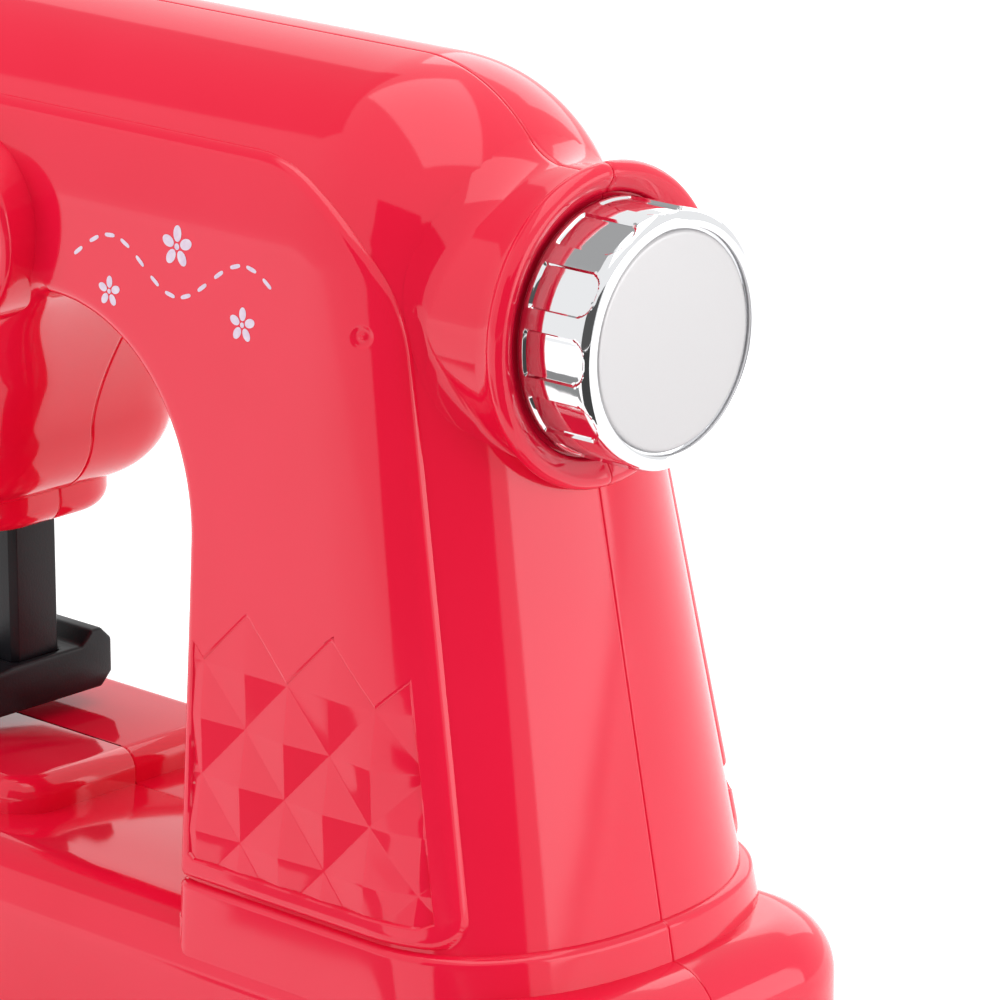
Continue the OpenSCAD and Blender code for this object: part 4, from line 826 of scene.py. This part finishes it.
# Wells of the rear screws: each goes down to its seat, and its mouth follows the skin
wells, quilt_tree = [], tree_of(quilt)
for x, z in WELLS:
    in_quilt = in_field(Vector((x, 0, z)))
    rear_skin, rear_quilt = (round_hole(sheet, (x, z), WELL_R, 32, 16, 60) for sheet in (rear_skin, rear_quilt))
    well = turned("screw_well", [(SCREW_R, WELL_SEAT), (WELL_R, WELL_SEAT), (WELL_R, 13), (WELL_R, 60)],
                  (x, 0, z), (0, 1, 0), 32)
    places = points_of(well)
    mouth = places[:, 1] > 50
    places[mouth] = drape(quilt_tree if in_quilt else front_tree, places[mouth] * [1, 0, 1], 0) * [1, -1, 1]
    place_points(well, places)
    wells.append(well)

# Gate mark of the mould beside the panel's edge: a shallow dish with a dot
skin = round_hole(skin, GATE, GATE_R, 40, -60, -10)
dish = [(0, -0.1), (0.35, -0.13), (0.5, -0.3), (0.9, -0.42), (1.3, -0.38), (1.65, -0.2), (1.9, -0.04), (GATE_R, 0)]
gate = turned("gate_mark", dish, (GATE[0], 0, GATE[1]), (0, -1, 0), 40)
place_points(gate, drape(front_tree, points_of(gate) * [1, -1, 1], 0))

# Neck of the handwheel: barrel, rolled lip and the dish that the wheel turns in
neck = [(NECK_R, NECK_ROOT), (NECK_R, NECK_END), (NECK_R + 0.25, 78.3)] + arc((COLLAR_R - 2.1, 81.1), 2.1, -52, 82, 14)
neck += [(25.9, 83.1), (25.2, 82.8), (24.2, 82.25), (23.3, 81.75), (22.95, 81.4), (22.75, 80.6), (7, 80.6)]
collar = front_half(turned("front_collar", spread(neck, 2.0), (0, 0, AXIS), (1, 0, 0), 128))
rear_collar = flipped(collar, "rear_collar")

# Step under the head, bored for the needle bar's sleeve
boss = block("front_boss", (NEEDLE_X, 0, 84.5), (26, 38, 7), 12, 4, False)
bpy.ops.mesh.primitive_cylinder_add(vertices=64, radius=10.05 * MM, depth=20 * MM,
                                    location=(NEEDLE_X * MM, 0, 84 * MM))
drill = named("boss_drill")
finish_with(boss, "BOOLEAN", object=drill, operation="DIFFERENCE", solver="EXACT")
bpy.data.objects.remove(drill)
boss = front_half(boss)
rear_boss = flipped(boss, "rear_boss")

# Collar of the front dial
ring = [(0, DIAL_FLOOR), (DIAL_R + 0.75, DIAL_FLOOR), (DIAL_R + 0.75, DIAL_FLOOR + 4.2)]
ring += arc((DIAL_R + 2.25, DIAL_FLOOR + 4.0), 1.5, 172, 0, 12) + [(DIAL_R + 3.75, 28)]
dial_collar = turned("dial_collar", spread(ring, 2.0), (DIAL_X, 0, DIAL_Z), (0, -1, 0), 96)

front_parts = [skin, quilt, cove, collar, boss, dial_collar, gate]
rear_parts = [rear_skin, rear_quilt, rear_cove, rear_collar, rear_boss] + wells
front_parts.append(inner_side("front_body_shell", front_parts, "front_inside", True))
rear_parts.append(inner_side("rear_body_shell", rear_parts, "rear_inside", True))
for name, parts, node in (("front_body", front_parts, "front_body_shell"),
                          ("rear_body", rear_parts, "rear_body_shell")):
    for part in parts:
        smooth(part, 12 if "quilt" in part.name else 32)
    hand_over(join(name, parts), "machine", "red_plastic", red_abs, node)


# Print on the panel: a dashed line of stitches that waves between three small five-petalled flowers

def ink_spot(x, z, long, wide, turn, blunt):
    """A thin oval of ink on the skin; a blunt below 1 fills out its ends."""
    bpy.ops.mesh.primitive_circle_add(vertices=28, radius=MM, fill_type="TRIFAN")
    piece = named("ink_spot")
    flat = points_of(piece)
    u, v = (np.sign(c) * np.abs(c) ** blunt * size for c, size in ((flat[:, 0], long), (flat[:, 1], wide)))
    cos, sin = math.cos(turn), math.sin(turn)
    places = np.stack([x + u * cos - v * sin, 0 * u, z + u * sin + v * cos], 1)
    place_points(piece, drape(front_tree, places, INK_PROUD))
    return piece


spots = []
for at in np.arange(WAVE_START, WAVE_END, STITCH_PITCH):
    phase = math.tau * (at - WAVE_START) / WAVE_LENGTH
    slope = WAVE_HEIGHT * math.tau / WAVE_LENGTH * math.cos(phase)
    spots.append(ink_spot(at, WAVE_Z + WAVE_HEIGHT * math.sin(phase), 1.25, 0.38, math.atan(slope), 0.7))
for fx, fz, size in ((12.6, 152.2, 1.15), (-3.8, 141.6, 0.85), (29.3, 141.4, 0.95)):
    for petal in range(5):
        turn = math.radians(90 + 72 * petal)
        spots.append(ink_spot(fx + 2 * size * math.cos(turn), fz + 2 * size * math.sin(turn),
                              1.25 * size, 0.85 * size, turn, 1))
    spots.append(ink_spot(fx, fz, 0.5 * size, 0.5 * size, 0, 1))
for spot in spots:
    tidy(spot)
stitches = join("stitch_print", spots)
smooth(stitches, 60)
hand_over(stitches, "machine", "white_plastic", ink)

# Base: tray and raised bed, parted like the body; the slot of the switch goes through the rear wall
tray = block("front_tray", (0, 0, 18), BASE_SIZE, BASE_CORNER, BASE_EDGE, True)
choose(tray, "FACE", lambda mid, way: way.z < -0.9)
bpy.ops.mesh.delete(type="FACE")
tray = front_half(tray)
bed = front_half(block("front_bed", (-65.5, 0, 36.75), BED_SIZE, BED_CORNER, BED_EDGE, True))
rear_tray = open_hole(flipped(tray, "rear_tray"), SLOT, 36, 56,
                      lambda mid, corners: mid.y > 40 and within(SLOT)(mid))
halves = {"front": [tray, bed], "rear": [rear_tray, flipped(bed, "rear_bed")]}
for side, parts in halves.items():
    node = side + "_base_shell"
    parts.append(inner_side(node, parts, side + "_base_inside", False))
    for part in parts:
        smooth(part, 32)
    hand_over(join(side + "_base", parts), "machine", "red_plastic", red_abs, node)


# Knobs: a turned cup with recesses sunk round its rim, square behind and round in front

def knob(name, outline, centre, axis, radius, count, wide, start, stop, depth, steps):
    """A knob of this outline with a number of recesses so wide and deep, from start to stop along its axis."""
    piece = turned(name, outline, centre, axis, steps)
    places, facing = points_of(piece), normals_of(piece)
    axis = np.array(axis, float)
    local = places - np.array(centre, float)
    along = local @ axis
    radial = local - along[:, None] * axis
    reach = np.linalg.norm(radial, axis=1)
    up = np.array([0, 0, 1.0])
    angle = np.arctan2(radial @ np.cross(axis, up), radial @ up)
    pitch = 2 * math.pi / count
    across = np.abs((angle + pitch / 2) % pitch - pitch / 2) * radius
    run = along + np.maximum(radius - reach, 0) * (along > stop / 2)
    inside = np.minimum(rounded_inside(wide / 2 - across, stop - run, 0.42 * wide),
                        rounded_inside(wide / 2 - across, run - start, 0.5))
    sink = depth * ease(np.clip(inside / 0.34 + 0.5, 0, 1)) * (reach > radius - 2.4) * (facing @ axis > -0.5)
    outside = (facing * radial).sum(1) > -0.2 * reach
    place_points(piece, places - facing * (sink * outside)[:, None])
    smooth(piece, 40)
    return piece


# Handwheel: chrome knob with its satin disc
cup = [(7, 2), (20.4, 2), (20.4, 0.25), (20.7, 0)] + arc((WHEEL_R - 0.4, 0.4), 0.4, -90, 0, 4)
wall = [(WHEEL_R, h) for h in np.arange(0.7, 13.2, 0.26)]
rim_arc = arc((WHEEL_R - 2.4, 13.2), 2.4, 0, 78, 16)
lip = [(19.75, 15.52), (19.5, 15.36), (19.42, 15.1), (19.4, 14.3), (6, 14.3)]
wheel = knob("handwheel_knob", cup + wall + rim_arc + lip, (WHEEL_BACK, 0, AXIS), (1, 0, 0), WHEEL_R,
             12, 7.9, 1.5, 14.9, 0.5, 480)
hand_over(wheel, "drive_shaft", "chrome_plating", chrome, "handwheel")
disc = [(0, 15.57)] + [(r, 15.57 - 0.5 * (r / 18) ** 2) for r in np.linspace(1, 18, 18)]
disc += arc((CAP_R - 1.0, 14.15), 0.95, 68, 0, 6) + [(CAP_R - 0.05, 14.35), (0, 14.35)]
cap = turned("handwheel_disc", disc, (WHEEL_BACK, 0, AXIS), (1, 0, 0), 128)
smooth(cap, 40)
hand_over(cap, "drive_shaft", "satin_disc", satin, "handwheel_cap")

# Front dial, built like the handwheel
cup = [(5, 1.2), (11.6, 1.2), (11.6, 0.2), (11.8, 0)] + arc((DIAL_R - 0.3, 0.3), 0.3, -90, 0, 3)
wall = [(DIAL_R, h) for h in np.arange(0.5, 4.2, 0.22)]
lip = [(11.2, 5.48), (11.1, 5.3), (11.08, 4.3), (3, 4.3)]
dial = knob("front_dial_knob", cup + wall + arc((DIAL_R - 1.25, 4.25), 1.25, 0, 85, 10) + lip,
            (DIAL_X, -DIAL_BACK, DIAL_Z), (0, -1, 0), DIAL_R, 10, 5.2, 0.8, 4.9, 0.5, 360)
hand_over(dial, "dial", "chrome_plating", chrome, "front_dial")
disc = [(0, 5.6)] + [(r, 5.6 - 0.35 * (r / 10) ** 2) for r in np.linspace(1, 10, 10)]
disc += arc((DIAL_CAP_R - 0.7, 4.6), 0.65, 68, 0, 5) + [(DIAL_CAP_R - 0.05, 4.35), (0, 4.35)]
dial_disc = turned("front_dial_disc", disc, (DIAL_X, -DIAL_BACK, DIAL_Z), (0, -1, 0), 96)
smooth(dial_disc, 40)
hand_over(dial_disc, "dial", "satin_disc", satin, "dial_cap")


# Straight mouldings keep their solid's form and get soft edges

def softened(name, node, width, body, slot):
    """The solid of a node with its edges rounded to this width."""
    piece = copy_of(frame["nodes"][node], name)
    tidy(piece, False)
    edit_all(piece)
    bpy.ops.mesh.dissolve_limited(angle_limit=math.radians(1))
    bpy.ops.object.mode_set(mode="OBJECT")
    finish_with(piece, "BEVEL", width=width * MM, segments=3, limit_method="ANGLE", angle_limit=math.radians(28))
    smooth(piece, 40)
    hand_over(piece, body, slot, slot_finish[slot], node)


softened("needle_bar_stem", "needle_bar", 0.35, "needle_carrier", "black_plastic")
softened("sled_foot", "presser_foot", 0.7, "needle_carrier", "black_plastic")
softened("bar_sleeve", "needle_guide", 0.3, "machine", "black_plastic")
softened("switch_thumb_piece", "switch_slider", 0.2, "switch_knob", "black_plastic")
softened("soft_feet", "rubber_feet", 0.6, "machine", "rubber")


# Studio: pale floor, soft boxes, white surroundings, camera at the photograph's angle

def looked_at(tree):
    """1 for rays from the camera, from mirrors and through clear pieces, 0 for light that falls on things."""
    ray = put(tree, "LightPath").outputs
    seen = put(tree, "Math", {0: ray["Is Camera Ray"], 1: ray["Is Glossy Ray"]}, operation="MAXIMUM")
    return put(tree, "Math", {0: seen.outputs[0], 1: ray["Is Transmission Ray"]}, operation="MAXIMUM").outputs[0]


bpy.ops.mesh.primitive_plane_add(size=12, location=(0, 0, 0))
floor = named("studio_floor")
paper, tree, shader, place = material("white_paper_floor", Roughness=0.9, Base_Color=hue("#F4F4F4"),
                                      Emission_Color=(1, 1, 1, 1))
glow = put(tree, "Math", {0: looked_at(tree), 1: 0.35}, operation="MULTIPLY")
tree.links.new(glow.outputs[0], shader.inputs["Emission Strength"])
floor.data.materials.append(paper)

world = bpy.data.worlds.new("studio_surround")
bpy.context.scene.world = world
world.use_nodes = True
tree = world.node_tree
sky = tree.nodes["Background"]
sky.inputs["Color"].default_value = (1, 1, 1, 1)
level = put(tree, "MapRange", {"Value": looked_at(tree), "To Min": 0.74, "To Max": 1.0})
tree.links.new(level.outputs["Result"], sky.inputs["Strength"])


def soft_box(name, place, target, wide, high, brightness):
    """A lamp as a softbox: its size in metres and how bright its face looks."""
    bpy.ops.object.light_add(type="AREA", location=place)
    lamp = named(name)
    lamp.data.shape, lamp.data.size, lamp.data.size_y = "RECTANGLE", wide, high
    lamp.data.energy = brightness * math.pi * wide * high
    lamp.rotation_euler = (Vector(target) - Vector(place)).to_track_quat("-Z", "Y").to_euler()
    return lamp


soft_box("key_front_left", (-1.25, -1.35, 1.0), (0, 0, 0.12), 1.1, 1.2, 2.1).visible_glossy = False
soft_box("side_right", (1.78, 0.72, 0.5), (0, 0, 0.12), 1.9, 0.95, 1.8)
soft_box("overhead", (0.1, 0.2, 1.7), (0, 0, 0.1), 2.0, 1.2, 1.35)
soft_box("rear_fill", (-0.7, 1.7, 0.9), (0, 0, 0.1), 1.2, 1.0, 1.2)


def flag(name, corners, level):
    """A studio flag: it shows only in reflections, where it deepens the gloss; level is how grey it looks."""
    felt = material(name + "_felt", Roughness=1.0, Specular_IOR_Level=0.0, Base_Color=hue("#080808"),
                    Emission_Color=(1, 1, 1, 1), Emission_Strength=level)[0]
    bpy.ops.mesh.primitive_plane_add(size=1)
    card = named(name)
    place_points(card, np.array(corners) / MM)
    card.data.materials.append(felt)
    card.visible_camera = card.visible_diffuse = card.visible_shadow = False


FLAG_LIE = 0.002  # height of the flags that lie on the floor, in metres
flag("flag_front", [(0.15, -2.0, 0.0), (1.5, -1.8, 0.0), (0.15, -2.0, 1.5), (1.5, -1.8, 1.5)], 0.1)
flag("flag_camera_side", [(1.5, -1.8, 0.0), (2.2, -0.55, 0.0), (1.5, -1.8, 1.3), (2.2, -0.55, 1.3)], 0.1)
flag("flag_floor", [(0.08, -0.15, FLAG_LIE), (0.187, -0.055, FLAG_LIE), (0.55, -1.84, FLAG_LIE),
                    (2.0, -0.5, FLAG_LIE)], 0.06)
flag("flag_low", [(-0.06, -0.14, FLAG_LIE), (0.04, -0.15, FLAG_LIE), (-0.17, -0.245, FLAG_LIE),
                  (-0.03, -0.255, FLAG_LIE)], 0.3)
flag("flag_upper_left", [(-1.6, -0.7, 1.1), (-1.6, 0.8, 1.1), (-1.0, -0.7, 1.6), (-1.0, 0.8, 1.6)], 0.42)

bpy.ops.object.camera_add(location=(0.680, -0.668, 0.379))
camera = named("photo_camera")
turn, tilt = math.radians(43), math.radians(16.5)
look = Vector((-math.sin(turn) * math.cos(tilt), math.cos(turn) * math.cos(tilt), -math.sin(tilt)))
camera.rotation_euler = look.to_track_quat("-Z", "Y").to_euler()
camera.data.sensor_width, camera.data.lens, camera.data.clip_end = 36, 198, 50
bpy.context.scene.camera = camera
bpy.context.scene.view_settings.view_transform = "Standard"
